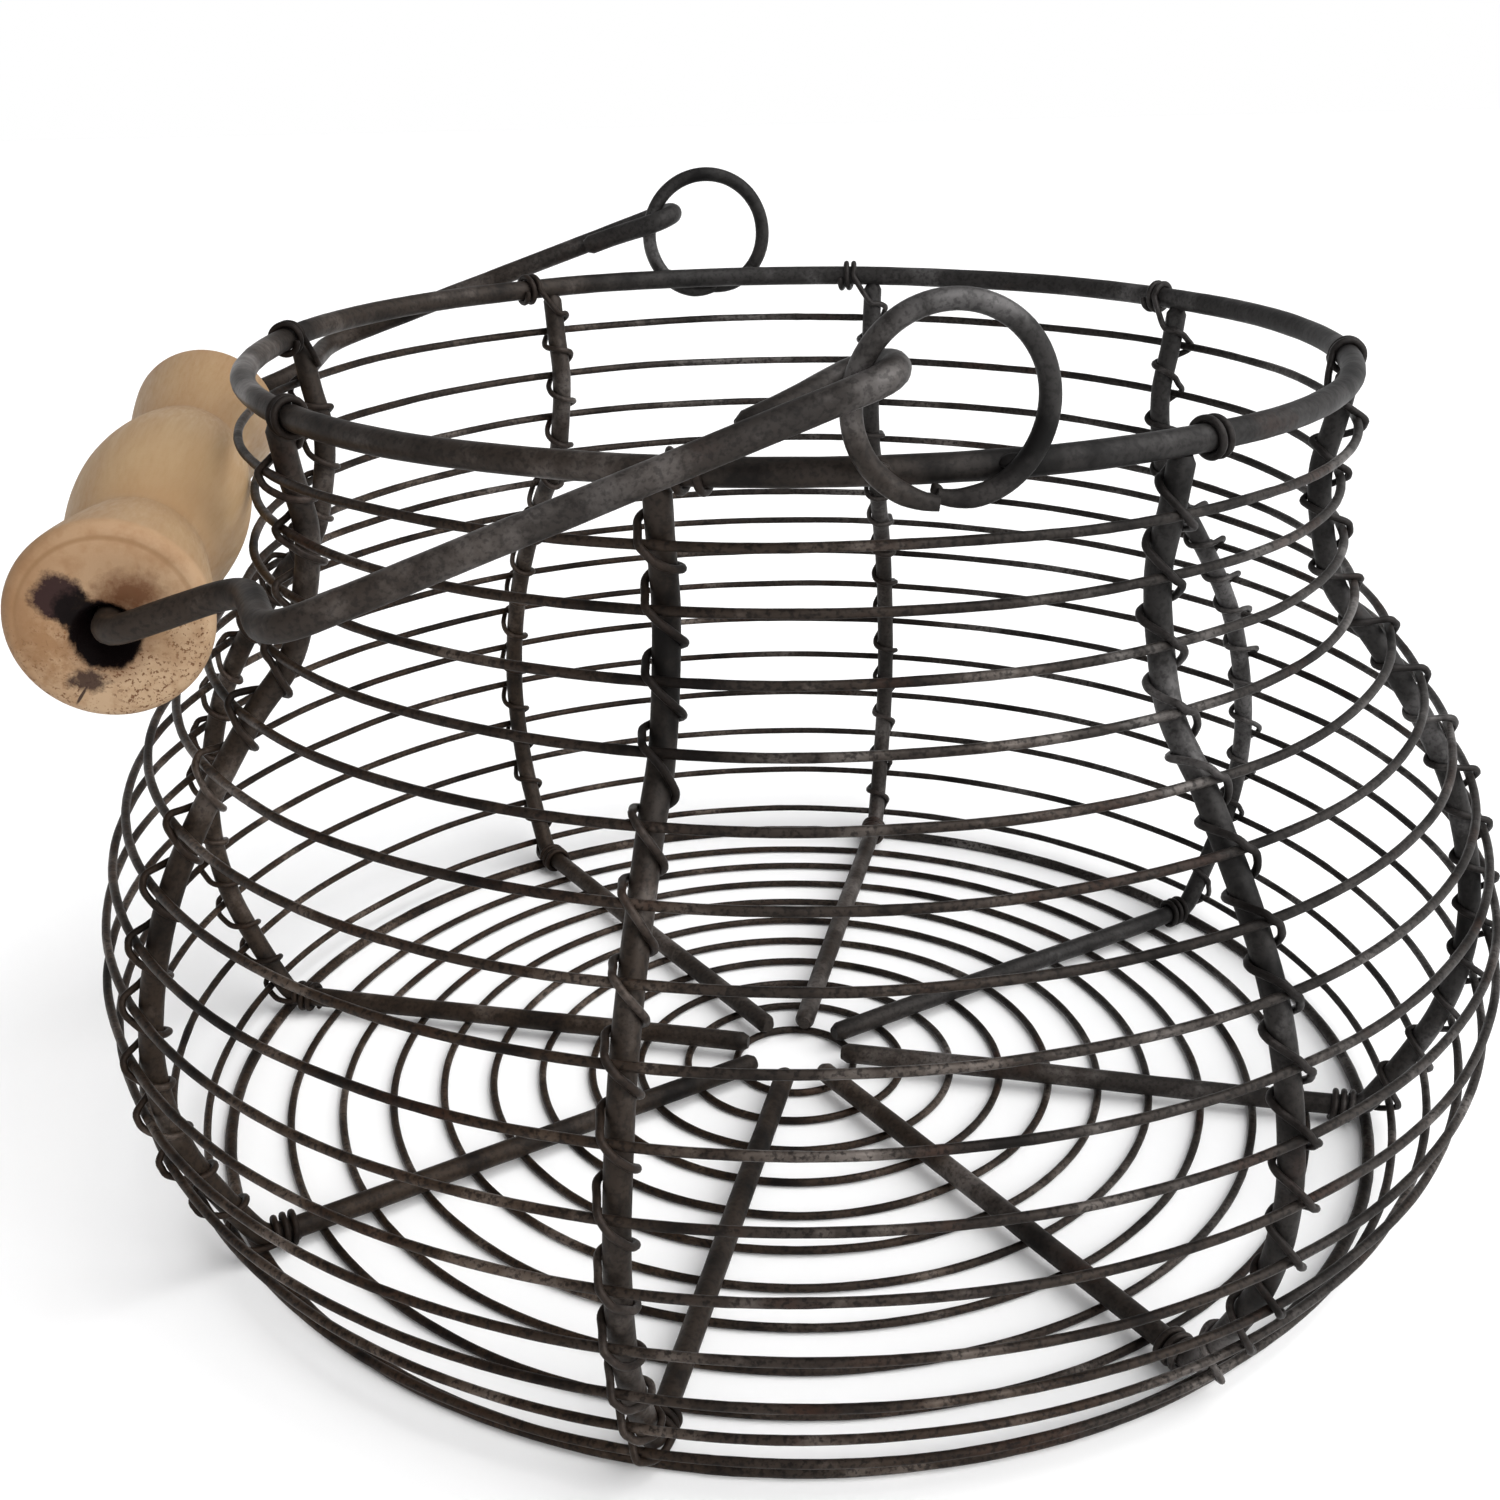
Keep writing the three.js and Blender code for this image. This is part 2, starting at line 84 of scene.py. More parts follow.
FILL_SIZE = 0.8
LAMP_AIM = Vector((0, 0, 0.07))


def add_node(tree, kind, feeds=None, **settings):
    made = tree.nodes.new(kind)
    for name, value in settings.items():
        setattr(made, name, value)
    for socket, feed in (feeds or {}).items():
        if isinstance(feed, bpy.types.NodeSocket):
            tree.links.new(feed, made.inputs[socket])
        else:
            made.inputs[socket].default_value = feed
    return made


def blend_colours(tree, amount, under, over, blend_type="MIX"):
    feeds = {0: amount, 6: under, 7: over}
    mixed = add_node(tree, "ShaderNodeMix", feeds, data_type="RGBA", blend_type=blend_type)
    return mixed.outputs[2]


def new_finish(name, metallic, roughness):
    material = bpy.data.materials.new(name)
    material.use_nodes = True
    shader = material.node_tree.nodes["Principled BSDF"]
    shader.inputs["Metallic"].default_value = metallic
    shader.inputs["Roughness"].default_value = roughness
    return material, material.node_tree, shader


def table_finish():
    material, tree, shader = new_finish("white_table", 0.0, TABLE_ROUGHNESS)
    place = add_node(tree, "ShaderNodeTexCoord").outputs["Object"]
    clouds = add_node(tree, "ShaderNodeTexNoise", {"Vector": place, "Scale": TABLE_CLOUD_SCALE})
    shade = blend_colours(tree, clouds.outputs["Fac"], TABLE_COLOUR, TABLE_SHADE)
    tree.links.new(shade, shader.inputs["Base Color"])
    return material


def hang_lamp(name, kind, place, power):
    lamp = bpy.data.lights.new(name, kind)
    lamp.energy = power
    stand = bpy.data.objects.new(name, lamp)
    stand.rotation_euler = (LAMP_AIM - place).to_track_quat("-Z", "Y").to_euler()
    stand.location = place
    bpy.context.collection.objects.link(stand)
    return lamp


def paint_room():
    room = bpy.data.worlds.new("room")
    room.use_nodes = True
    tree = room.node_tree
    direction = add_node(tree, "ShaderNodeTexCoord").outputs["Generated"]
    height = add_node(tree, "ShaderNodeSeparateXYZ", {"Vector": direction}).outputs["Z"]
    paint = add_node(tree, "ShaderNodeValToRGB", {"Fac": height})
    wall, ceiling = paint.color_ramp.elements
    wall.position = WALL_TOP
    wall.color = WALL_COLOUR
    ceiling.position = CEILING_FROM
    ceiling.color = CEILING_COLOUR
    tree.links.new(paint.outputs["Color"], tree.nodes["Background"].inputs["Color"])
    return room


bpy.context.scene.world = paint_room()
bpy.context.scene.view_settings.view_transform = "Standard"

bpy.ops.mesh.primitive_grid_add(
    x_subdivisions=TABLE_CELLS, y_subdivisions=TABLE_CELLS, size=TABLE_SIZE
)
table = bpy.context.object
table.name = "table"
table.data.materials.append(table_finish())

hang_lamp("broad_lamp", "SUN", KEY_PLACE, KEY_STRENGTH).angle = KEY_SPREAD
fill_lamp = hang_lamp("fill_lamp", "AREA", FILL_PLACE, FILL_POWER)
fill_lamp.shape = "DISK"
fill_lamp.size = FILL_SIZE


# Rim. One stout iron wire bent to a ring and closed, dark from the fire and worn grey where it
# is handled. Every wire in the basket is drawn the same way: a round section swept along its
# line, which wavers a little and swells and thins under the hammer.
RIM_WIRE = 0.0035
RIM_SEED = 1
RING_POINTS = 72
STOUT_STEP = 0.0011
STOUT_SIDES = 20

# Reach and length of the wire's bends, then share and length of its hammer marks
STOUT_WAVERING = (0.0003, 0.045)
STOUT_HAMMERED = (0.045, 0.006)
HAMMER_SEED_SHIFT = 20.5
END_BEVEL = 0.66

IRON_DARK = (0.0032, 0.0029, 0.0028, 1)
IRON_MIDDLE = (0.0240, 0.0224, 0.0217, 1)
IRON_WORN = (0.124, 0.119, 0.118, 1)
IRON_RUST = (0.036, 0.0160, 0.0100, 1)
IRON_BROWN = (1.12, 0.80, 0.56, 1)
IRON_METALLIC = 0.3
IRON_GLOSS = 0.15

# Patterns on the iron: scale, detail and roughness of each
MOTTLE = (58, 7.0, 0.60)
PITS = (1500, 3.0, 0.55)
HAMMER_MARKS = (330, 2.0, 0.45)
RUST_SPOTS = (38, 8.0, 0.68)
BROWN_CLOUDS = (16, 3.0, 0.55)

# Where the mottled skin turns from dark to middle and from middle to worn
DARK_AT = 0.34
MIDDLE_FROM = 0.48
MIDDLE_TO = 0.54
WORN_AT = 0.76

# The iron is browner towards the grip and the foot, and less so where it is worn
BROWN_BELOW = 0.13
BROWN_PER_DROP = 0.6
BROWN_CLOUDING = 0.25
BROWN_FADE = 0.11

# Spans: low and high value of a pattern, and the amounts that they turn into
BROWN_ON_WORN = (0.52, 0.66, 1.0, 0.5)
GLOSS_OF_MOTTLE = (0.34, 0.74, 0.62, 0.36)
DULLED_BY_RUST = (0.0, 0.75, 0.0, 0.2)

# Pits and rust: where each begins and ends on its pattern, how much it covers, how deep it goes
PIT_EDGE = (0.38, 0.52)
RUST_EDGE = 0.16
RUST_COVER = 0.6
PIT_DEPTH = 0.22
IRON_BUMP = 0.9


def colour_steps(tree, amount, steps):
    ramp = add_node(tree, "ShaderNodeValToRGB", {"Fac": amount})
    elements = ramp.color_ramp.elements
    while len(elements) < len(steps):
        elements.new(0.5)
    for element, (position, colour) in zip(elements, steps):
        element.position = position
        element.color = colour
    return ramp.outputs["Color"]


def stretch(tree, value, low, high, to_low=0.0, to_high=1.0):
    feeds = {"Value": value, "From Min": low, "From Max": high, "To Min": to_low, "To Max": to_high}
    return add_node(tree, "ShaderNodeMapRange", feeds).outputs["Result"]


def calculate(tree, operation, first, second=0.0):
    return add_node(tree, "ShaderNodeMath", {0: first, 1: second}, operation=operation).outputs[0]


def speckle(tree, place, scale, detail, roughness):
    feeds = {"Vector": place, "Scale": scale, "Detail": detail, "Roughness": roughness}
    return add_node(tree, "ShaderNodeTexNoise", feeds).outputs["Fac"]


def iron_finish(name, dark, middle, worn, rust, rust_from, grime, bump_depth):
    material, tree, shader = new_finish(name, IRON_METALLIC, 0.5)
    shader.inputs["Specular IOR Level"].default_value = IRON_GLOSS
    place = add_node(tree, "ShaderNodeTexCoord").outputs["Object"]
    mottle = speckle(tree, place, *MOTTLE)
    pits = speckle(tree, place, *PITS)
    shades = [(DARK_AT, dark), (MIDDLE_FROM, middle), (MIDDLE_TO, middle), (WORN_AT, worn)]
    skin = colour_steps(tree, mottle, shades)

    parts = add_node(tree, "ShaderNodeSeparateXYZ", {"Vector": place}).outputs
    drop = calculate(tree, "SUBTRACT", BROWN_BELOW, parts["Z"])
    drop = calculate(tree, "MULTIPLY", drop, BROWN_PER_DROP)
    brown_side = calculate(tree, "SUBTRACT", drop, parts["X"])
    clouds = calculate(tree, "SUBTRACT", speckle(tree, place, *BROWN_CLOUDS), 0.5)
    clouds = calculate(tree, "MULTIPLY", clouds, BROWN_CLOUDING)
    patina = stretch(tree, calculate(tree, "ADD", brown_side, clouds), 0.0, BROWN_FADE)
    patina = calculate(tree, "MULTIPLY", patina, stretch(tree, mottle, *BROWN_ON_WORN))
    skin = blend_colours(tree, patina, skin, IRON_BROWN, "MULTIPLY")

    rusty = speckle(tree, place, *RUST_SPOTS)
    rust_amount = stretch(tree, rusty, rust_from, rust_from + RUST_EDGE, 0.0, RUST_COVER)
    skin = blend_colours(tree, rust_amount, skin, rust)
    skin = blend_colours(tree, stretch(tree, pits, *PIT_EDGE, grime, 0.0), skin, dark)
    tree.links.new(skin, shader.inputs["Base Color"])

    gloss = stretch(tree, mottle, *GLOSS_OF_MOTTLE)
    gloss = calculate(tree, "ADD", gloss, stretch(tree, rust_amount, *DULLED_BY_RUST))
    tree.links.new(gloss, shader.inputs["Roughness"])
    height = calculate(tree, "MULTIPLY", pits, PIT_DEPTH)
    height = calculate(tree, "ADD", height, speckle(tree, place, *HAMMER_MARKS))
    feeds = {"Height": height, "Distance": bump_depth, "Strength": IRON_BUMP}
    bump = add_node(tree, "ShaderNodeBump", feeds)
    tree.links.new(bump.outputs["Normal"], shader.inputs["Normal"])
    return material


def wire_tree():
    tree = bpy.data.node_groups.new("bent_wire", "GeometryNodeTree")
    face = tree.interface
    face.new_socket("Line", in_out="INPUT", socket_type="NodeSocketGeometry")
    for label in (
        "Wire Diameter", "Step", "Waver", "Waver Length", "Hammering", "Hammer Length", "End Taper",
    ):
        face.new_socket(label, in_out="INPUT", socket_type="NodeSocketFloat")
    for label in ("Sides", "Seed"):
        face.new_socket(label, in_out="INPUT", socket_type="NodeSocketInt")
    face.new_socket("Finish", in_out="INPUT", socket_type="NodeSocketMaterial")
    face.new_socket("Wire", in_out="OUTPUT", socket_type="NodeSocketGeometry")
    given = add_node(tree, "NodeGroupInput").outputs

    def scaled(vector, factor):
        feeds = {0: vector, 3: factor}
        return add_node(tree, "ShaderNodeVectorMath", feeds, operation="SCALE").outputs[0]

    def wander(length, seed_shift):
        place = add_node(tree, "GeometryNodeInputPosition").outputs[0]
        place = scaled(place, calculate(tree, "DIVIDE", 1.0, length))
        seed = calculate(tree, "ADD", given["Seed"], seed_shift)
        feeds = {"Vector": place, "W": seed, "Scale": 1.0, "Detail": 1.0}
        return add_node(tree, "ShaderNodeTexNoise", feeds, noise_dimensions="4D").outputs

    line = add_node(tree, "GeometryNodeMeshToCurve", {0: given["Line"]}).outputs[0]
    smooth = add_node(tree, "GeometryNodeCurveSplineType", {0: line}, spline_type="CATMULL_ROM")
    feeds = {"Curve": smooth.outputs[0], "Length": given["Step"]}
    line = add_node(tree, "GeometryNodeResampleCurve", feeds, mode="LENGTH").outputs[0]

    feeds = {0: wander(given["Waver Length"], 0.0)["Color"], 1: (0.5, 0.5, 0.5)}
    drift = add_node(tree, "ShaderNodeVectorMath", feeds, operation="SUBTRACT").outputs[0]
    drift = scaled(drift, calculate(tree, "MULTIPLY", given["Waver"], 2.0))
    line = add_node(tree, "GeometryNodeSetPosition", {"Geometry": line, "Offset": drift}).outputs[0]

    swell = wander(given["Hammer Length"], HAMMER_SEED_SHIFT)["Fac"]
    swell = calculate(tree, "SUBTRACT", swell, 0.5)
    swell = calculate(tree, "MULTIPLY", calculate(tree, "MULTIPLY", swell, 2.0), given["Hammering"])
    swell = calculate(tree, "ADD", swell, 1.0)
    travelled = add_node(tree, "GeometryNodeSplineParameter").outputs["Length"]
    whole_length = add_node(tree, "GeometryNodeSplineLength").outputs["Length"]
    left = calculate(tree, "SUBTRACT", whole_length, travelled)
    to_end = calculate(tree, "MINIMUM", travelled, left)
    to_end = calculate(tree, "DIVIDE", to_end, given["End Taper"])
    closed = add_node(tree, "GeometryNodeInputSplineCyclic").outputs[0]
    bevel = stretch(tree, calculate(tree, "MAXIMUM", to_end, closed), 0.0, 1.0, END_BEVEL, 1.0)
    radius = calculate(tree, "MULTIPLY", given["Wire Diameter"], 0.5)
    radius = calculate(tree, "MULTIPLY", radius, bevel)
    radius = calculate(tree, "MULTIPLY", radius, swell)

    feeds = {"Resolution": given["Sides"], "Radius": 1.0}
    section = add_node(tree, "GeometryNodeCurvePrimitiveCircle", feeds).outputs["Curve"]
    feeds = {"Curve": line, "Profile Curve": section, "Scale": radius, "Fill Caps": True}
    wire = add_node(tree, "GeometryNodeCurveToMesh", feeds).outputs[0]
    corners = add_node(tree, "GeometryNodeInputMeshFaceNeighbors").outputs["Vertex Count"]
    feeds = {2: corners, 3: 4}
    is_cap = add_node(
        tree, "FunctionNodeCompare", feeds, data_type="INT", operation="GREATER_THAN"
    ).outputs[0]
    wire = add_node(tree, "GeometryNodeSetShadeSmooth", {0: wire, 2: True}).outputs[0]
    wire = add_node(tree, "GeometryNodeSetShadeSmooth", {0: wire, 1: is_cap, 2: False}).outputs[0]
    wire = add_node(tree, "GeometryNodeRealizeInstances", {0: wire}).outputs[0]
    feeds = {"Geometry": wire, "Material": given["Finish"]}
    wire = add_node(tree, "GeometryNodeSetMaterial", feeds).outputs[0]
    add_node(tree, "NodeGroupOutput", {0: wire})
    return tree


BENT_WIRE = wire_tree()


def draw_wire(
    name, points, closed, finish, diameter, sides, step, waver, hammering, seed, taper=0.3
):
    """A round wire along the points. The taper at its ends is a share of its diameter."""
    count = len(points)
    edges = [(i, (i + 1) % count) for i in range(count if closed else count - 1)]
    line = bpy.data.meshes.new(name + "_line")
    line.from_pydata([tuple(point) for point in points], edges, [])
    piece = bpy.data.objects.new(name, line)
    bpy.context.collection.objects.link(piece)
    values = {
        "Wire Diameter": diameter,
        "Sides": sides,
        "Step": step,
        "Waver": waver[0],
        "Waver Length": waver[1],
        "Hammering": hammering[0],
        "Hammer Length": hammering[1],
        "End Taper": diameter * taper,
        "Seed": seed,
        "Finish": finish,
    }
    sweep = piece.modifiers.new("bent_wire", "NODES")
    sweep.node_group = BENT_WIRE
    for socket in BENT_WIRE.interface.items_tree:
        if socket.in_out == "INPUT" and socket.name in values:
            sweep[socket.identifier] = values[socket.name]
    evaluated = piece.evaluated_get(bpy.context.evaluated_depsgraph_get())
    swept = bpy.data.meshes.new_from_object(evaluated)
    piece.modifiers.clear()
    piece.data = swept
    swept.name = name
    bpy.data.meshes.remove(line)
    return piece


def fit_piece(piece, body, slot, *nodes):
    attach(piece, body)
    if nodes:
        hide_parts(*nodes)


def ring_of(node):
    """Radius and height of a hoop's centre line, from its CAD box."""
    low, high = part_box(node)
    half_wire = (high.z - low.z) / 2
    return high.x - half_wire, (low.z + high.z) / 2


def ring_points(radius, height, count=RING_POINTS):
    turns = [2 * math.pi * i / count for i in range(count)]
    return [Vector((radius * math.cos(turn), radius * math.sin(turn), height)) for turn in turns]


stout_finish = iron_finish(
    "stout_iron_wire", IRON_DARK, IRON_MIDDLE, IRON_WORN, IRON_RUST,
    rust_from=0.60, grime=0.45, bump_depth=0.00014,
)
rim_radius, rim_height = ring_of("rim")

rim = draw_wire(
    "rim_wire", ring_points(rim_radius, rim_height), True, stout_finish,
    RIM_WIRE, STOUT_SIDES, STOUT_STEP, STOUT_WAVERING, STOUT_HAMMERED, RIM_SEED,
)
fit_piece(rim, "basket", "stout_wire", "rim")


# Wall hoops. Fifteen hoops of thin iron wire, each closed on itself, lie outside the ribs from
# neck to foot. The wire is browner than the stout wire, with more rust and more dark pits.
HOOP_WIRE = 0.00132
HOOP_COUNT = 15
HOOP_SEED = 100
THIN_WAVERING = (0.00032, 0.030)
THIN_HAMMERED = (0.09, 0.0028)
THIN_STEP = 0.0011
THIN_SIDES = 12

THIN_DARK = (0.0034, 0.0024, 0.0019, 1)
THIN_MIDDLE = (0.0250, 0.0214, 0.0192, 1)
THIN_WORN = (0.150, 0.138, 0.130, 1)
THIN_RUST = (0.038, 0.0140, 0.0070, 1)

thin_finish = iron_finish(
    "thin_iron_wire", THIN_DARK, THIN_MIDDLE, THIN_WORN, THIN_RUST,
    rust_from=0.56, grime=0.75, bump_depth=0.00020,
)
hoop_rows = []

for row in range(1, HOOP_COUNT + 1):
    node = f"hoop_{row:02d}"
    radius, height = ring_of(node)
    hoop_rows.append((radius, height))
    hoop = draw_wire(
        f"hoop_wire_{row:02d}", ring_points(radius, height), True, thin_finish,
        HOOP_WIRE, THIN_SIDES, THIN_STEP, THIN_WAVERING, THIN_HAMMERED, HOOP_SEED + row,
    )
    fit_piece(hoop, "basket", "thin_wire", node)


# Ribs. Eight stout wires stand under the rim, lie inside the hoops down the wall, turn in at the
# foot and run over the floor to its middle. Each meets the rim from below, tied by its lashing.
RIB_COUNT = 8
RIB_WIRE = 0.0035
RIB_SEED = 200
RIB_INSET = 0.0027
RIB_IN_RIM = 0.0004
FLOOR_RUN_RISE = 0.0027
FOOT_BEND = 0.0017
RIB_OVERRUN = 0.0019
LINE_CUTS = 12


def outward_of(direction):
    return Vector((-direction.z, 0, direction.x)).normalized()


def smooth_line(stations):
    """A smooth line through the stations, cut into LINE_CUTS between each two."""
    line = []
    last = len(stations) - 1
    for i in range(last):
        here = stations[i]
        ahead = stations[i + 1]
        reach = (ahead - here).length / 3
        leaving = (ahead - stations[max(i - 1, 0)]).normalized() * reach
        arriving = (stations[min(i + 2, last)] - here).normalized() * reach
        line += interpolate_bezier(here, here + leaving, ahead - arriving, ahead, LINE_CUTS + 1)[:-1]
    return line + [stations[-1]]


def bay_place(bay, point):
    """Turns a point of the rib's own plane, with X outwards, to the bay's azimuth."""
    azimuth = math.radians(360 / RIB_COUNT * (bay + 0.5) - 90)
    return Matrix.Rotation(azimuth, 3, "Z") @ point


floor_hoop_height = ring_of("floor_hoop_1")[1]
floor_run_height = floor_hoop_height + FLOOR_RUN_RISE
centre_radius = ring_of("centre_ring")[0]
base_radius, base_height = ring_of("base_ring")

wall_rows = [(rim_radius, rim_height)] + hoop_rows
wall_line = [Vector((radius, 0, height)) for radius, height in wall_rows]
wall_line.append(Vector((base_radius, 0, base_height)))
rib_stations = [Vector((rim_radius, 0, rim_height - RIM_WIRE / 2 + RIB_IN_RIM))]
for row in range(1, HOOP_COUNT + 1):
    outward = outward_of(wall_line[row + 1] - wall_line[row - 1])
    rib_stations.append(wall_line[row] - outward * RIB_INSET)
foot = rib_stations[-1]
foot_slope = (foot - rib_stations[-2]).normalized()
foot_corner = foot + foot_slope * ((foot.z - floor_run_height) / -foot_slope.z)
floor_start = Vector((foot_corner.x - FOOT_BEND, 0, floor_run_height))
rib_stations.append((foot + foot_corner * 2 + floor_start) / 4)
rib_stations.append(floor_start)
rib_stations.append(Vector(((floor_start.x + centre_radius) / 2, 0, floor_run_height)))
rib_stations.append(Vector((centre_radius - RIB_OVERRUN, 0, floor_run_height)))
rib_line = smooth_line(rib_stations)

for bay in range(RIB_COUNT):
    rib = draw_wire(
        f"rib_wire_{bay + 1}", [bay_place(bay, point) for point in rib_line], False, stout_finish,
        RIB_WIRE, STOUT_SIDES, STOUT_STEP, STOUT_WAVERING, STOUT_HAMMERED, RIB_SEED + bay,
    )
    fit_piece(rib, "basket", "stout_wire", f"rib_{bay + 1}")


# Floor. A base ring of heavier iron wire, closed on itself, carries the basket. Nine thin hoops
# and a small centre ring, each fixed under the ribs where it meets them, close the floor.
BASE_WIRE = 0.0020
BASE_SEED = 300
FLOOR_HOOP_COUNT = 9
FLOOR_SEED = 310

base_ring = draw_wire(
    "base_ring_wire", ring_points(base_radius, base_height), True, thin_finish,
    BASE_WIRE, THIN_SIDES, THIN_STEP, THIN_WAVERING, THIN_HAMMERED, BASE_SEED,
)
fit_piece(base_ring, "basket", "stout_wire", "base_ring")

floor_nodes = [f"floor_hoop_{i + 1}" for i in range(FLOOR_HOOP_COUNT)] + ["centre_ring"]
for i, node in enumerate(floor_nodes):
    radius, height = ring_of(node)
    floor_wire = draw_wire(
        node + "_wire", ring_points(radius, height), True, thin_finish,
        HOOP_WIRE, THIN_SIDES, THIN_STEP, THIN_WAVERING, THIN_HAMMERED, FLOOR_SEED + i,
    )
    fit_piece(floor_wire, "basket", "thin_wire", node)


# Lashings. One thin soft iron wire binds each rib: two turns round the rim beside it, one slanting
# turn over every hoop, loose at the neck and drawn tighter towards the foot, and tight turns
# round the floor run. The tie on the rim at the front left is wound looser.
LASH_WIRE = 0.00105
LASH_SEED = 400
HAND_SEED = 40
LASH_MIDDLE = (0.0200, 0.0175, 0.0165, 1)
LASH_WORN = (0.115, 0.108, 0.105, 1)
LASH_STEP = 0.0004
LASH_SIDES = 10
LASH_WAVERING = (0.00018, 0.006)
LASH_HAMMERED = (0.06, 0.0018)
LASH_GAP = 0.00005
LASH_REST = (RIB_WIRE + LASH_WIRE) / 2 + LASH_GAP
RIM_TURNS = 2
RIM_TURN_START = 0.0064
RIM_TURN_PITCH = 0.00145
LOOSE_TURN_PITCH = 0.0027
LOOSE_TIE_BAY = 7
TURN_STEPS = 12
TIGHT_TURNS = 3
TIGHT_PITCH = 0.0014
FOOT_SIDE_STEP = LASH_WIRE * 1.2
LOOSENESS = 0.00035
SLIP_RANGE = (-0.05, 0.06)
BULGE_FROM = 0.6

# Places on one turn: share of the way to the next hoop, outwards from the rib, and to its right
# on the loose turns at the neck and on the tight ones at the foot. The first turn starts at
# BEHIND, the place straight behind the rib.
LASH_TURN = [
    (0.00, 0.00395, -0.0008, -0.0004),
    (0.12, 0.00375, 0.0001, 0.0006),
    (0.24, 0.00275, 0.0011, 0.0014),
    (0.36, 0.00145, 0.0020, 0.0021),
    (0.44, 0.00000, 0.0024, 0.0023),
    (0.50, -0.00150, 0.0018, 0.0018),
    (0.55, -0.00240, 0.0002, 0.0002),
    (0.60, -0.00170, -0.0016, -0.0016),
    (0.67, -0.00020, -0.00235, -0.0023),
    (0.78, 0.00160, -0.0020, -0.0017),
    (0.90, 0.00360, -0.0015, -0.0010),
]
BEHIND = 6

# How early the turns of each lashing go behind its rib; 1 is as in the list of places
EARLY_TURNS = (1.3, 1.15, 1.2, 1.0, 1.25, 1.1, 1.2, 1.0)

rib_travel = [0.0]
for before, after in zip(rib_line, rib_line[1:]):
    rib_travel.append(rib_travel[-1] + (after - before).length)


def beside_rib(depth, outwards, right):
    """A point beside the rib: so far down its line, so far outwards, and to its right."""
    index = 0
    while index < len(rib_travel) - 2 and rib_travel[index + 1] < depth:
        index += 1
    share = (depth - rib_travel[index]) / (rib_travel[index + 1] - rib_travel[index])
    run = rib_line[index + 1] - rib_line[index]
    point = rib_line[index] + run * share + outward_of(run) * outwards
    point.y = right
    return point


def row_depth(row):
    return rib_travel[row * LINE_CUTS]


def rim_turn_points(pitch):
    points = []
    radius = (RIM_WIRE + LASH_WIRE) / 2 + LASH_GAP
    steps = RIM_TURNS * TURN_STEPS
    for i in range(steps + 1):
        angle = math.pi + 2 * math.pi * (i - steps) / TURN_STEPS
        azimuth = (RIM_TURN_START - pitch * i / TURN_STEPS) / rim_radius
        reach = rim_radius + radius * math.cos(angle)
        height = rim_height + radius * math.sin(angle)
        points.append(Vector((reach * math.cos(azimuth), reach * math.sin(azimuth), height)))
    return points


def wall_turn_points(hand, early):
    points = []
    for row in range(HOOP_COUNT):
        pitch = row_depth(row + 1) - row_depth(row)
        tight = row / HOOP_COUNT
        slip = hand.uniform(*SLIP_RANGE)
        bulge = hand.uniform(0.0, LOOSENESS) * (1 - tight)
        for share, outwards, right_loose, right_tight in LASH_TURN[BEHIND if row == 0 else 0:]:
            loose = math.sin(math.pi * share)
            depth = row_depth(row) + pitch * (share ** early + slip * loose)
            right = right_loose + (right_tight - right_loose) * tight
            if right < 0 and share > BULGE_FROM:
                right -= bulge * loose
            lift = hand.uniform(0, LOOSENESS) * loose
            points.append(beside_rib(depth, outwards + lift, right))
    over_last_hoop = LASH_TURN[0]
    points.append(beside_rib(row_depth(HOOP_COUNT), over_last_hoop[1], over_last_hoop[3]))
    return points


def foot_turn_points():
    last_hoop = wall_line[HOOP_COUNT]
    base = wall_line[HOOP_COUNT + 1]
    under = (last_hoop + base) / 2
    under.y = FOOT_SIDE_STEP
    points = [under]
    start = row_depth(HOOP_COUNT + 1)
    for i in range(TURN_STEPS // 4, TIGHT_TURNS * TURN_STEPS + 1):
        turn = i / TURN_STEPS
        angle = 2 * math.pi * turn
        depth = start + TIGHT_PITCH * (turn + 1)
        points.append(beside_rib(depth, LASH_REST * math.cos(angle), LASH_REST * math.sin(angle)))
    return points


lash_finish = iron_finish(
    "lashing_iron_wire", THIN_DARK, LASH_MIDDLE, LASH_WORN, THIN_RUST,
    rust_from=0.60, grime=0.45, bump_depth=0.00010,
)

for bay in range(RIB_COUNT):
    hand = random.Random(HAND_SEED + bay)
    rim_turns = rim_turn_points(LOOSE_TURN_PITCH if bay == LOOSE_TIE_BAY else RIM_TURN_PITCH)
    lash_line = rim_turns + wall_turn_points(hand, EARLY_TURNS[bay]) + foot_turn_points()
    lash_line = [bay_place(bay, point) for point in lash_line]
    lashing = draw_wire(
        f"lashing_wire_{bay + 1}", lash_line, False, lash_finish,
        LASH_WIRE, LASH_SIDES, LASH_STEP, LASH_WAVERING, LASH_HAMMERED, LASH_SEED + bay,
    )
    fit_piece(lashing, "basket", "thin_wire", f"lashing_{bay + 1}")


# Ear rings. Two rings bent from stout wire stand outside the rim, one in front and one behind.
# The cut ends meet under the rim, one lapped over the other, and solder holds each ring.
EAR_WIRE = 0.0026
EAR_START = math.radians(-97)
EAR_SWEEP = math.radians(359)
EAR_POINTS = 48
EAR_STEP = 0.0008
EAR_WAVERING = (0.0001, 0.02)
EAR_SEEDS = {"front": 500, "back": 503}
EAR_TUCK = 0.0009
EAR_TUCK_BACK = 0.5
EAR_TUCK_SHARE = 0.14
EAR_LAP = 0.0019
EAR_LIFT = 0.0005
EAR_LAP_SHARE = 0.2
EAR_TAPER = 1.6
SOLDER_ACROSS = 0.0009
SOLDER_ALONG = 0.0016
SOLDER_LIFT = 0.0007
WELD_PLACE = Vector((-0.0012, 0.0010, 0.0016))
WELD_ACROSS = 0.0006
WELD_ALONG = 0.0007
SOLDER_SEED = 5
LUMP_WAVES = 4
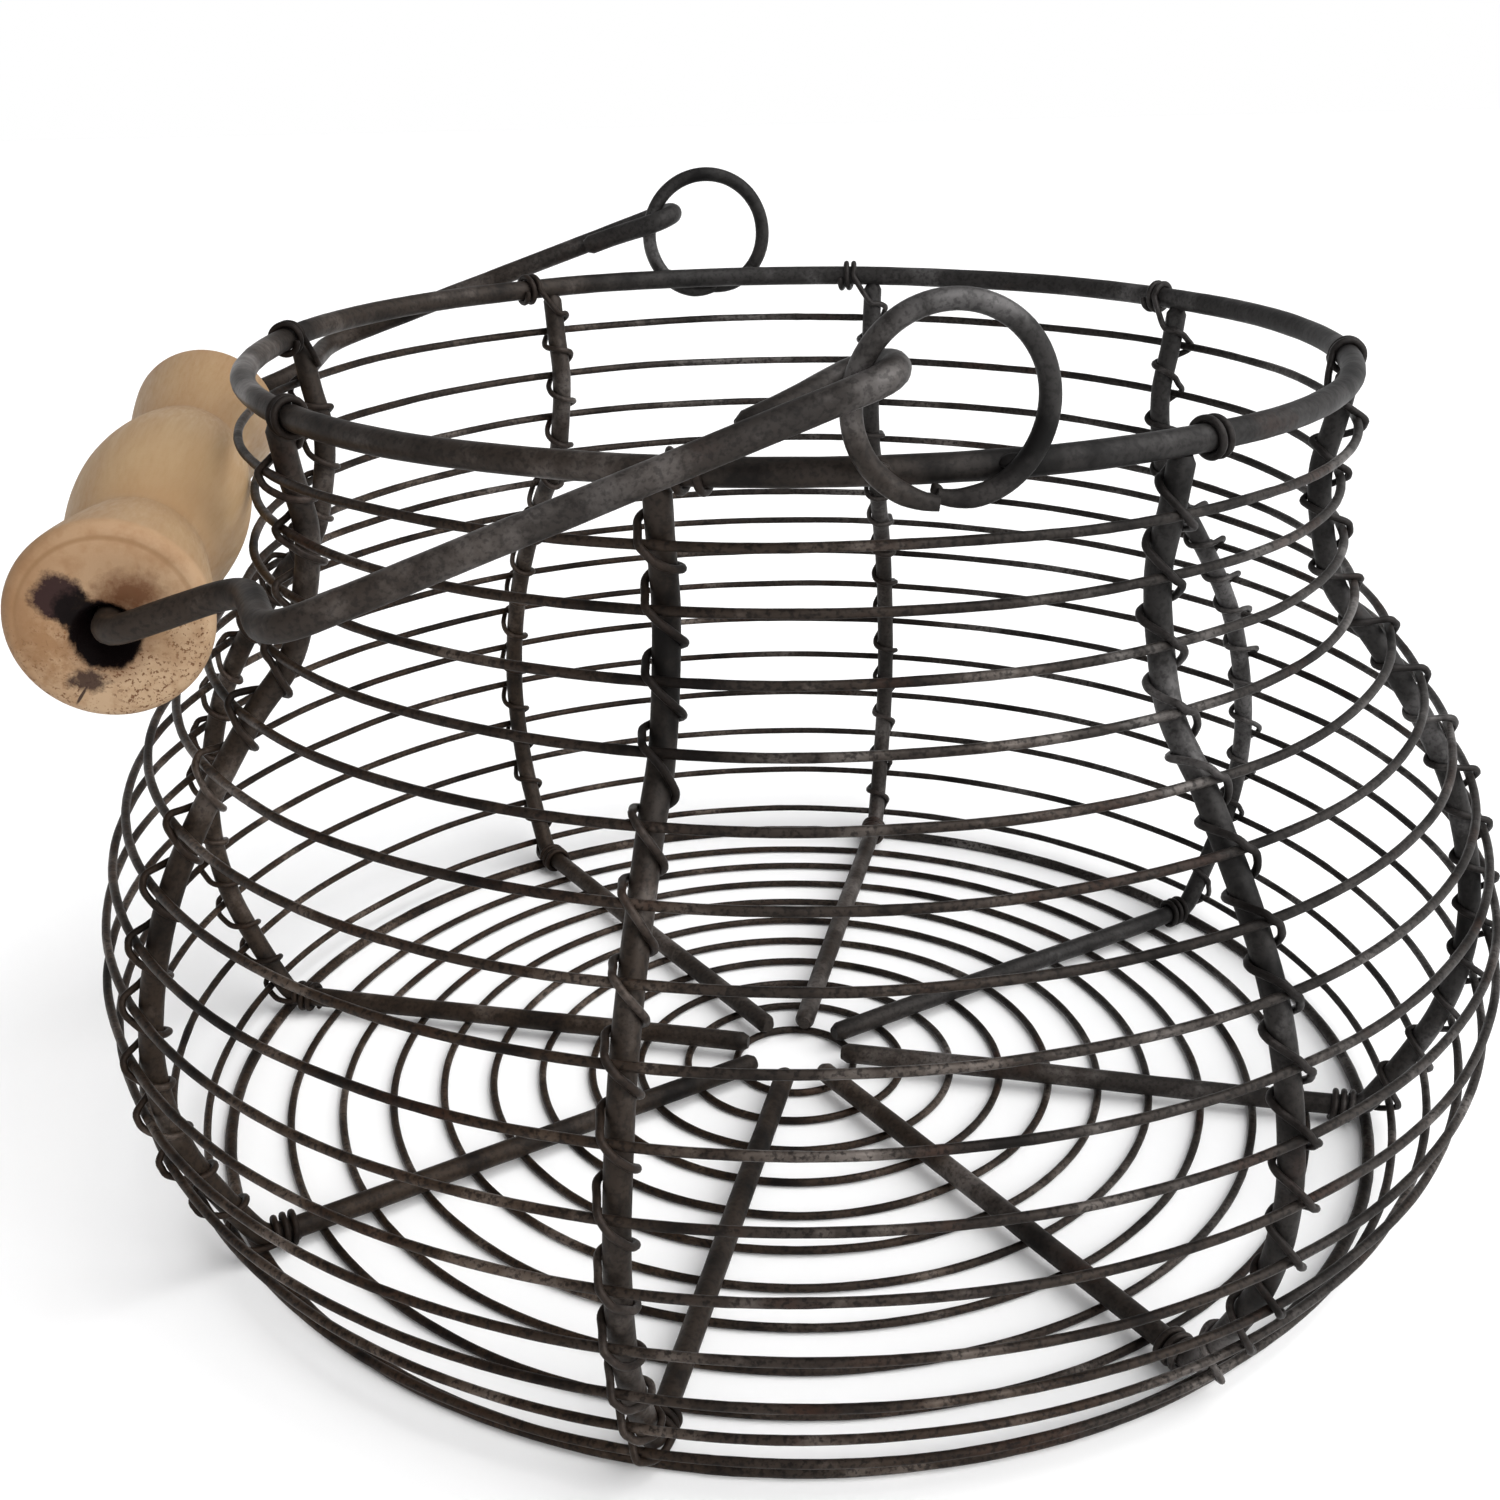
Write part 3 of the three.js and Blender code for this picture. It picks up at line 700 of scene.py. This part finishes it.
LUMP_PITCH = 3.4
LUMP_DEPTH = 0.07

ear_low, ear_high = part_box("ear_ring_front")
ear_radius = (ear_high.z - ear_low.z - EAR_WIRE) / 2
ear_height = ear_high.z - EAR_WIRE / 2 - ear_radius
ear_distance = -ear_high.y + EAR_WIRE / 2


def ear_points():
    """From the end that lies against the rim, round by the right, to the lapped end in front."""
    points = []
    for i in range(EAR_POINTS + 1):
        turn = i / EAR_POINTS
        angle = EAR_START + EAR_SWEEP * turn
        tuck = max(0.0, 1 - turn / EAR_TUCK_SHARE) ** 2
        lap = max(0.0, (turn - 1) / EAR_LAP_SHARE + 1) ** 2
        radius = ear_radius - EAR_TUCK * tuck - EAR_LIFT * lap
        forward = ear_distance - EAR_TUCK * EAR_TUCK_BACK * tuck + EAR_LAP * lap
        height = ear_height + radius * math.sin(angle)
        points.append(Vector((radius * math.cos(angle), -forward, height)))
    return points


def solder_bead(name, place, along, length, width, seed):
    """A small uneven bead of solder, stretched along the joint that it fills."""
    bead = bmesh.new()
    bmesh.ops.create_icosphere(bead, subdivisions=4, radius=1.0)
    hand = random.Random(seed)
    waves = []
    for _ in range(LUMP_WAVES):
        wave = Vector((hand.uniform(-1, 1), hand.uniform(-1, 1), hand.uniform(-1, 1)))
        waves.append(wave * LUMP_PITCH)
    turn = along.to_track_quat("Z", "Y").to_matrix()
    for vertex in bead.verts:
        rise = sum(math.sin(wave.dot(vertex.co) + i) for i, wave in enumerate(waves))
        lump = 1 + LUMP_DEPTH * rise
        local = Vector((vertex.co.x * width, vertex.co.y * width, vertex.co.z * length)) * lump
        vertex.co = place + turn @ local
    mesh = bpy.data.meshes.new(name)
    bead.to_mesh(mesh)
    bead.free()
    for polygon in mesh.polygons:
        polygon.use_smooth = True
    mesh.materials.append(stout_finish)
    piece = bpy.data.objects.new(name, mesh)
    bpy.context.collection.objects.link(piece)
    return piece


crossing = math.sqrt(ear_radius ** 2 - (ear_height - rim_height) ** 2)
for side, turn in (("front", 0.0), ("back", math.pi)):
    facing = Matrix.Rotation(turn, 3, "Z")
    ear = draw_wire(
        f"ear_wire_{side}", [facing @ point for point in ear_points()], False, stout_finish,
        EAR_WIRE, STOUT_SIDES, EAR_STEP, EAR_WAVERING, STOUT_HAMMERED, EAR_SEEDS[side], EAR_TAPER,
    )
    fit_piece(ear, "basket", "stout_wire", f"ear_ring_{side}")
    along_rim = facing @ Vector((1, 0, 0))
    for i, (hand_side, x) in enumerate((("left", -crossing), ("right", crossing))):
        rim_side = Vector((x, -math.sqrt(rim_radius ** 2 - x ** 2), rim_height + SOLDER_LIFT))
        ring_side = Vector((x, -ear_distance, rim_height + SOLDER_LIFT))
        bead = solder_bead(
            f"solder_{side}_{hand_side}", facing @ ((rim_side + ring_side) / 2), along_rim,
            SOLDER_ALONG, SOLDER_ACROSS, SOLDER_SEED + i,
        )
        fit_piece(bead, "basket", "stout_wire")
    weld_place = Vector((0, -ear_distance, ear_height - ear_radius)) + WELD_PLACE
    weld = solder_bead(
        f"weld_{side}", facing @ weld_place, along_rim, WELD_ALONG, WELD_ACROSS, SOLDER_SEED + 2
    )
    fit_piece(weld, "basket", "stout_wire")


# Bail. One stout wire, hooked at each end round an ear ring, runs out along its arms to an
# elbow, steps in, and turns square through the grip. It hangs on the left with the grip low.
BAIL_WIRE = 0.0036
HOOK_BEND = 0.00385
HOOK_CLOSE = math.radians(15)
HOOK_ANGLE = math.radians(33.2)
ELBOW_REACH = 0.0672
ELBOW_SPREAD = 0.0921
JOG_REACH = 0.0712
JOG_SPREAD = 0.0695
GRIP_REACH = 0.0894
GRIP_CORNER_SPREAD = 0.0658
ELBOW_BEND = 0.006
GRIP_BEND = 0.0045
BEND_STEPS = 8
ARM_SHARES = (0.1, 0.3, 0.5, 0.7, 0.85)
GRIP_RUN_SHARES = (0.2, 0.5, 0.8)
BAIL_WAVERING = (0.0001, 0.04)
BAIL_SEED = 600

# The hook's short leg, from its tip: along the arm and across from the ring's plane
HOOK_LEG = [
    (0.0143, -0.0007),
    (0.0115, -0.0003),
    (0.0090, 0.0003),
    (0.0062, 0.0014),
    (0.0035, 0.0028),
]

grip_low, grip_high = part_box("grip")
grip_centre = (grip_low + grip_high) / 2
hook_along = ear_radius * math.cos(HOOK_ANGLE)
hook_lift = ear_radius * math.sin(HOOK_ANGLE)
hook_centre = hook_along - HOOK_BEND * (1 / math.cos(HOOK_ANGLE) - 1)
pivot = Vector((0, 0, ear_height))
to_grip = pivot - grip_centre
bail_drop = math.atan2(to_grip.z, to_grip.x) + math.atan2(hook_lift, hook_along + GRIP_REACH)


def bail_place(along, across):
    return pivot + Matrix.Rotation(-bail_drop, 3, "Y") @ Vector((-along, across, hook_lift))


def corner_points(before, at, after, tangent):
    start = at + (before - at).normalized() * tangent
    end = at + (after - at).normalized() * tangent
    mid_in = at.lerp(start, 1 / 3)
    mid_out = at.lerp(end, 1 / 3)
    return interpolate_bezier(start, mid_in, mid_out, end, BEND_STEPS)


def half_bail_points():
    points = [bail_place(hook_centre + along, across - ear_distance) for along, across in HOOK_LEG]
    for i in range(BEND_STEPS * 2 + 1):
        angle = -HOOK_CLOSE + (math.pi + HOOK_CLOSE) * i / (BEND_STEPS * 2)
        along = hook_centre - HOOK_BEND * math.sin(angle)
        points.append(bail_place(along, HOOK_BEND * math.cos(angle) - ear_distance))
    elbow = bail_place(hook_along + ELBOW_REACH, -ELBOW_SPREAD)
    jog = bail_place(hook_along + JOG_REACH, -JOG_SPREAD)
    grip_corner = bail_place(hook_along + GRIP_REACH, -GRIP_CORNER_SPREAD)
    middle = bail_place(hook_along + GRIP_REACH, 0)
    hook_end = points[-1]
    points += [hook_end.lerp(elbow, share) for share in ARM_SHARES]
    points += corner_points(hook_end, elbow, jog, ELBOW_BEND)
    points += corner_points(elbow, jog, grip_corner, ELBOW_BEND)
    points += corner_points(jog, grip_corner, middle, GRIP_BEND)
    points += [grip_corner.lerp(middle, share) for share in GRIP_RUN_SHARES]
    return points


half_bail = half_bail_points()
other_half = [Vector((point.x, -point.y, point.z)) for point in reversed(half_bail)]
bail = draw_wire(
    "bail_wire", half_bail + other_half, False, stout_finish,
    BAIL_WIRE, STOUT_SIDES, STOUT_STEP, BAIL_WAVERING, STOUT_HAMMERED, BAIL_SEED,
)
fit_piece(bail, "bail", "stout_wire", "bail")


# Grip. Three beads turned on one stick of pale close-grained wood, bored right through with a
# hot iron, which left both mouths charred and the end face stained and checked.
GRIP_RADIUS = 0.01225
BORE_RADIUS = 0.0022
MOUTH_RADIUS = 0.0039
MOUTH_DEPTH = 0.0028
MOUTH_SHIFT = Vector((-0.0004, 0, -0.0016))
NEAR_GROOVE = -0.036
FAR_GROOVE = 0.024
GROOVE_DEPTH = 0.0031
# Strength of the painted shade that darkens the grooves between the beads
GROOVE_SHADE = 0.38
MIDDLE_CROWN = 1.8
OUTER_CROWN = 1.2
SHOULDER = 0.0022
FACE_RADIUS = 0.0104
GRIP_SIDES = 96
BEAD_STEPS = 40
SHOULDER_STEPS = 10

WOOD_PALE = (0.330, 0.222, 0.118, 1)
WOOD_WARM = (0.290, 0.182, 0.091, 1)
WOOD_FIBRE = (0.19, 0.105, 0.050, 1)
# Smoke colour, also painted as shade in the grooves and over the left of the near face
WOOD_SMOKE_AND_SHADE = (0.215, 0.118, 0.058, 1)
END_GRAIN = (0.410, 0.290, 0.185, 1)
CHAR = (0.003, 0.0015, 0.0015, 1)
SCORCH = (0.020, 0.0095, 0.0105, 1)
STAIN_GREY = (0.040, 0.023, 0.018, 1)
STAIN_BROWN = (0.110, 0.044, 0.020, 1)
WOOD_GLOSS = 0.06
WOOD_BUMP = 0.5
WOOD_BUMP_DEPTH = 0.00012
FIBRE_RELIEF = 0.5
TOOL_RELIEF = 0.3

# The end face inside its shoulder, from its edge into the bore: depth below the face, and radius
FACE_STEP = 0.0002
END_FACE = [
    (0.0, FACE_RADIUS - 0.0003),
    (0.0, FACE_RADIUS * 0.75),
    (0.0, MOUTH_RADIUS + 0.0004),
    (0.0003, MOUTH_RADIUS),
    (MOUTH_DEPTH * 0.6, MOUTH_RADIUS * 0.86),
    (MOUTH_DEPTH, BORE_RADIUS),
]
MOUTH_LIMIT = FACE_RADIUS * 0.7

# Patterns in the wood: scale, detail and roughness of each
GRAIN_BANDS = (210, 4.0, 0.5)
GRAIN_FIBRES = (1500, 3.0, 0.6)
WOOD_CLOUDS = (70, 3.0, 0.55)
TOOL_MARKS = (1.0, 2.0, 0.5)
RAGGED_EDGES = (520, 5.0, 0.7)
FACE_BLOTCHES = (330, 4.0, 0.65)
FACE_PORES = (2400, 2.0, 0.6)
PORE_PATCHES = (260, 3.0, 0.55)

# How grain and tool marks are stretched, and where the bands turn from warm to pale
GRAIN_STRETCH = (1, 0.06, 1)
TOOL_MARK_STRETCH = (60, 2600, 60)
WARM_AT = 0.32
PALE_AT = 0.62

# Spans: low and high value of a pattern or a place, and the amounts that they turn into
FIBRES_SHOW = (0.50, 0.72, 0.0, 0.11)
CLOUDS_SHOW = (0.50, 0.72, 0.0, 0.40)
FACE_BEGINS = (-0.0030, -0.0008)
END_SMOKED = (-0.024, -0.002, 0.0, 0.30)
FACE_BROWNED = (-0.001, 0.008, 0.0, 0.55)
BLOTCHES_SHOW = (0.46, 0.66, 0.0, 0.55)
PORES_SHOW = (0.56, 0.64, 0.0, 0.9)
PATCHES_SHOW = (0.33, 0.50)
PORES_BELOW = (0.0040, -0.0010)
MOUTH_HALO = (0.0040, 0.0062, 0.6, 0.0)
MOUTH_BURNT = (0.0039, 0.0045, 1.0, 0.0)
EDGE_LINE = (0.0001, 0.0004, 0.65, 0.0)
EDGE_LINE_ABOVE = (-0.004, 0.009)
WOOD_ROUGHNESS = (0.3, 0.7, 0.42, 0.60)

# How far the painted shade climbs the grooves, how bare the face is, and how ragged the stains'
# edges are
GROOVE_LIP = 0.0008
END_GRAIN_SHARE = 0.8
RAGGED_DEPTH = 0.0032
MOUTH_RAGGEDNESS = 0.6

# Stains, one crack and a painted shade on the near face, in the order they lie on it: place to
# the right of and above the middle, radius, colour, softness, strength, stretch across and up,
# turn, raggedness
FACE_STAINS_AND_SHADE = [
    # The first entry is a painted shade over the left of the near face and its shoulder
    (-0.0100, 0.0010, 0.0050, WOOD_SMOKE_AND_SHADE, 0.0040, 0.85, (1, 1.8), 0.0, 1.0),
    (-0.0072, -0.0026, 0.0018, WOOD_SMOKE_AND_SHADE, 0.0012, 0.85, (1, 1.6), 0.0, 3.4),
    (0.0066, -0.0034, 0.0022, WOOD_SMOKE_AND_SHADE, 0.0018, 0.45, (1, 1), 0.0, 2.6),
    (0.0030, 0.0035, 0.0031, STAIN_BROWN, 0.0017, 0.90, (1, 0.70), 0.0, 2.0),
    (-0.0030, -0.0069, 0.0021, STAIN_GREY, 0.0006, 0.95, (1, 0.65), 0.0, 1.4),
    (-0.0042, -0.0088, 0.0013, SCORCH, 0.0003, 0.9, (0.14, 1), math.radians(35), 0.3),
    (-0.0052, 0.0036, 0.0028, SCORCH, 0.0005, 0.97, (1, 1), 0.0, 1.0),
    (-0.0036, 0.0020, 0.0023, CHAR, 0.0005, 0.97, (1, 1), 0.0, 1.0),
    (-0.0018, 0.0002, 0.0026, CHAR, 0.0005, 0.97, (1, 1), 0.0, 1.0),
]


def bead_radius(along, widest):
    """Radius at a distance along the grip, on one of three beads with a groove on each side."""
    crown = OUTER_CROWN
    if along < NEAR_GROOVE:
        share = (along + widest) / (NEAR_GROOVE + widest)
    elif along > FAR_GROOVE:
        share = (widest - along) / (widest - FAR_GROOVE)
    else:
        share = abs(2 * along - NEAR_GROOVE - FAR_GROOVE) / (FAR_GROOVE - NEAR_GROOVE)
        crown = MIDDLE_CROWN
    return GRIP_RADIUS - GROOVE_DEPTH * share ** crown


def end_profile(end, widest):
    """Distance along the grip and radius, from the shoulder over the face and into the bore."""
    profile = []
    for i in range(1, SHOULDER_STEPS + 1):
        angle = math.pi / 2 * i / SHOULDER_STEPS
        along = widest + (SHOULDER - FACE_STEP) * math.sin(angle)
        profile.append((along, FACE_RADIUS + (GRIP_RADIUS - FACE_RADIUS) * math.cos(angle)))
    return profile + [(end - depth, radius) for depth, radius in END_FACE]


def grip_profile(end):
    widest = end - SHOULDER
    stops = (-widest, NEAR_GROOVE, FAR_GROOVE, widest)
    profile = [(-along, radius) for along, radius in reversed(end_profile(end, widest))]
    for start, stop in zip(stops, stops[1:]):
        for i in range(BEAD_STEPS):
            along = start + (stop - start) * i / BEAD_STEPS
            profile.append((along, bead_radius(along, widest)))
    profile.append((widest, bead_radius(widest, widest)))
    return profile + end_profile(end, widest)


def wood_finish(centre, near_face):
    material, tree, shader = new_finish("turned_wood", 0.0, 0.5)
    shader.inputs["Specular IOR Level"].default_value = WOOD_GLOSS
    place = add_node(tree, "ShaderNodeTexCoord").outputs["Object"]

    def mapped(vector, vector_type="POINT", **feeds):
        feeds["Vector"] = vector
        return add_node(tree, "ShaderNodeMapping", feeds, vector_type=vector_type).outputs[0]

    def length_of(vector):
        measured = add_node(tree, "ShaderNodeVectorMath", {0: vector}, operation="LENGTH")
        return measured.outputs["Value"]

    local = mapped(place, Location=tuple(-centre))
    along_grain = mapped(local, Scale=GRAIN_STRETCH)
    bands = speckle(tree, along_grain, *GRAIN_BANDS)
    fibres = speckle(tree, along_grain, *GRAIN_FIBRES)
    clouds = speckle(tree, local, *WOOD_CLOUDS)
    tone = colour_steps(tree, bands, [(WARM_AT, WOOD_WARM), (PALE_AT, WOOD_PALE)])
    tone = blend_colours(tree, stretch(tree, fibres, *FIBRES_SHOW), tone, WOOD_FIBRE)
    tone = blend_colours(tree, stretch(tree, clouds, *CLOUDS_SHOW), tone, WOOD_WARM)

    # Painted shade in the grooves, and smoke towards both ends
    parts = add_node(tree, "ShaderNodeSeparateXYZ", {"Vector": local}).outputs
    across = add_node(tree, "ShaderNodeCombineXYZ", {"X": parts["X"], "Z": parts["Z"]}).outputs[0]
    from_axis = length_of(across)
    end_distance = calculate(tree, "SUBTRACT", calculate(tree, "ABSOLUTE", parts["Y"]), near_face)
    on_face = stretch(tree, end_distance, *FACE_BEGINS)
    groove_floor = GRIP_RADIUS - GROOVE_DEPTH
    groove_top = GRIP_RADIUS - GROOVE_LIP
    groove_shade = stretch(tree, from_axis, groove_floor, groove_top, GROOVE_SHADE, 0.0)
    groove_shade = calculate(tree, "MULTIPLY", groove_shade, calculate(tree, "SUBTRACT", 1.0, on_face))
    tone = blend_colours(tree, groove_shade, tone, WOOD_SMOKE_AND_SHADE)
    tone = blend_colours(tree, stretch(tree, end_distance, *END_SMOKED), tone, WOOD_SMOKE_AND_SHADE)

    # End grain on both faces, browner at the top, with blotches and open pores
    bare = calculate(tree, "MULTIPLY", on_face, END_GRAIN_SHARE)
    tone = blend_colours(tree, bare, tone, END_GRAIN)
    browned = calculate(tree, "MULTIPLY", stretch(tree, parts["Z"], *FACE_BROWNED), on_face)
    tone = blend_colours(tree, browned, tone, WOOD_SMOKE_AND_SHADE)
    blotches = stretch(tree, speckle(tree, local, *FACE_BLOTCHES), *BLOTCHES_SHOW)
    tone = blend_colours(tree, calculate(tree, "MULTIPLY", blotches, on_face), tone, WOOD_SMOKE_AND_SHADE)
    pores = stretch(tree, speckle(tree, local, *FACE_PORES), *PORES_SHOW)
    patches = stretch(tree, speckle(tree, local, *PORE_PATCHES), *PATCHES_SHOW)
    patches = calculate(tree, "MULTIPLY", patches, stretch(tree, parts["Z"], *PORES_BELOW))
    pores = calculate(tree, "MULTIPLY", calculate(tree, "MULTIPLY", pores, patches), on_face)
    tone = blend_colours(tree, pores, tone, STAIN_BROWN)

    # Scorched halo round the mouths, the stains and a painted shade on the near face, and the burnt
    # bore
    ragged = calculate(tree, "SUBTRACT", speckle(tree, local, *RAGGED_EDGES), 0.5)
    ragged = calculate(tree, "MULTIPLY", ragged, RAGGED_DEPTH)
    feeds = {0: across, 1: MOUTH_SHIFT}
    to_mouth = add_node(tree, "ShaderNodeVectorMath", feeds, operation="SUBTRACT").outputs[0]
    mouth_edge = calculate(tree, "MULTIPLY", ragged, MOUTH_RAGGEDNESS)
    to_mouth = calculate(tree, "ADD", length_of(to_mouth), mouth_edge)
    halo = calculate(tree, "MULTIPLY", stretch(tree, to_mouth, *MOUTH_HALO), on_face)
    tone = blend_colours(tree, halo, tone, STAIN_BROWN)
    for x, z, radius, colour, softness, strength, squash, turn, wear in FACE_STAINS_AND_SHADE:
        shaped = mapped(
            local, "TEXTURE",
            Location=(x, -near_face, z), Rotation=(0, turn, 0), Scale=(squash[0], 1, squash[1]),
        )
        reach = calculate(tree, "ADD", length_of(shaped), calculate(tree, "MULTIPLY", ragged, wear))
        amount = stretch(tree, reach, radius - softness, radius + softness, strength, 0.0)
        tone = blend_colours(tree, amount, tone, colour)
    tone = blend_colours(tree, stretch(tree, to_mouth, *MOUTH_BURNT), tone, CHAR)

    # A fine turned line round the upper edge of the face
    from_edge = calculate(tree, "ABSOLUTE", calculate(tree, "SUBTRACT", from_axis, FACE_RADIUS))
    edge_line = calculate(tree, "MULTIPLY", stretch(tree, from_edge, *EDGE_LINE), on_face)
    upper = stretch(tree, parts["Z"], *EDGE_LINE_ABOVE)
    tone = blend_colours(tree, calculate(tree, "MULTIPLY", edge_line, upper), tone, WOOD_FIBRE)
    tree.links.new(tone, shader.inputs["Base Color"])

    tree.links.new(stretch(tree, fibres, *WOOD_ROUGHNESS), shader.inputs["Roughness"])
    tool_marks = speckle(tree, mapped(local, Scale=TOOL_MARK_STRETCH), *TOOL_MARKS)
    height = calculate(tree, "MULTIPLY", fibres, FIBRE_RELIEF)
    height = calculate(tree, "ADD", height, calculate(tree, "MULTIPLY", tool_marks, TOOL_RELIEF))
    height = calculate(tree, "SUBTRACT", height, pores)
    feeds = {"Height": height, "Distance": WOOD_BUMP_DEPTH, "Strength": WOOD_BUMP}
    bump = add_node(tree, "ShaderNodeBump", feeds)
    tree.links.new(bump.outputs["Normal"], shader.inputs["Normal"])
    return material


def turned_grip():
    end = (grip_high.y - grip_low.y) / 2
    profile = grip_profile(end)
    vertices = []
    for along, radius in profile:
        in_mouth = BORE_RADIUS < radius < MOUTH_LIMIT
        shift = MOUTH_SHIFT if in_mouth else Vector()
        for side in range(GRIP_SIDES):
            angle = 2 * math.pi * side / GRIP_SIDES
            place = Vector((radius * math.cos(angle), along, radius * math.sin(angle)))
            vertices.append(grip_centre + place + shift)
    faces = []
    stations = len(profile)
    for i in range(stations):
        following = (i + 1) % stations
        for side in range(GRIP_SIDES):
            beside = (side + 1) % GRIP_SIDES
            corners = ((i, side), (following, side), (following, beside), (i, beside))
            faces.append([station * GRIP_SIDES + corner for station, corner in corners])
    mesh = bpy.data.meshes.new("turned_grip")
    mesh.from_pydata([tuple(vertex) for vertex in vertices], [], faces)
    shell = bmesh.new()
    shell.from_mesh(mesh)
    bmesh.ops.recalc_face_normals(shell, faces=shell.faces)
    shell.to_mesh(mesh)
    shell.free()
    for polygon in mesh.polygons:
        polygon.use_smooth = True
    mesh.materials.append(wood_finish(grip_centre, end))
    piece = bpy.data.objects.new("turned_grip", mesh)
    bpy.context.collection.objects.link(piece)
    return piece


fit_piece(turned_grip(), "grip", "grip_wood", "grip")
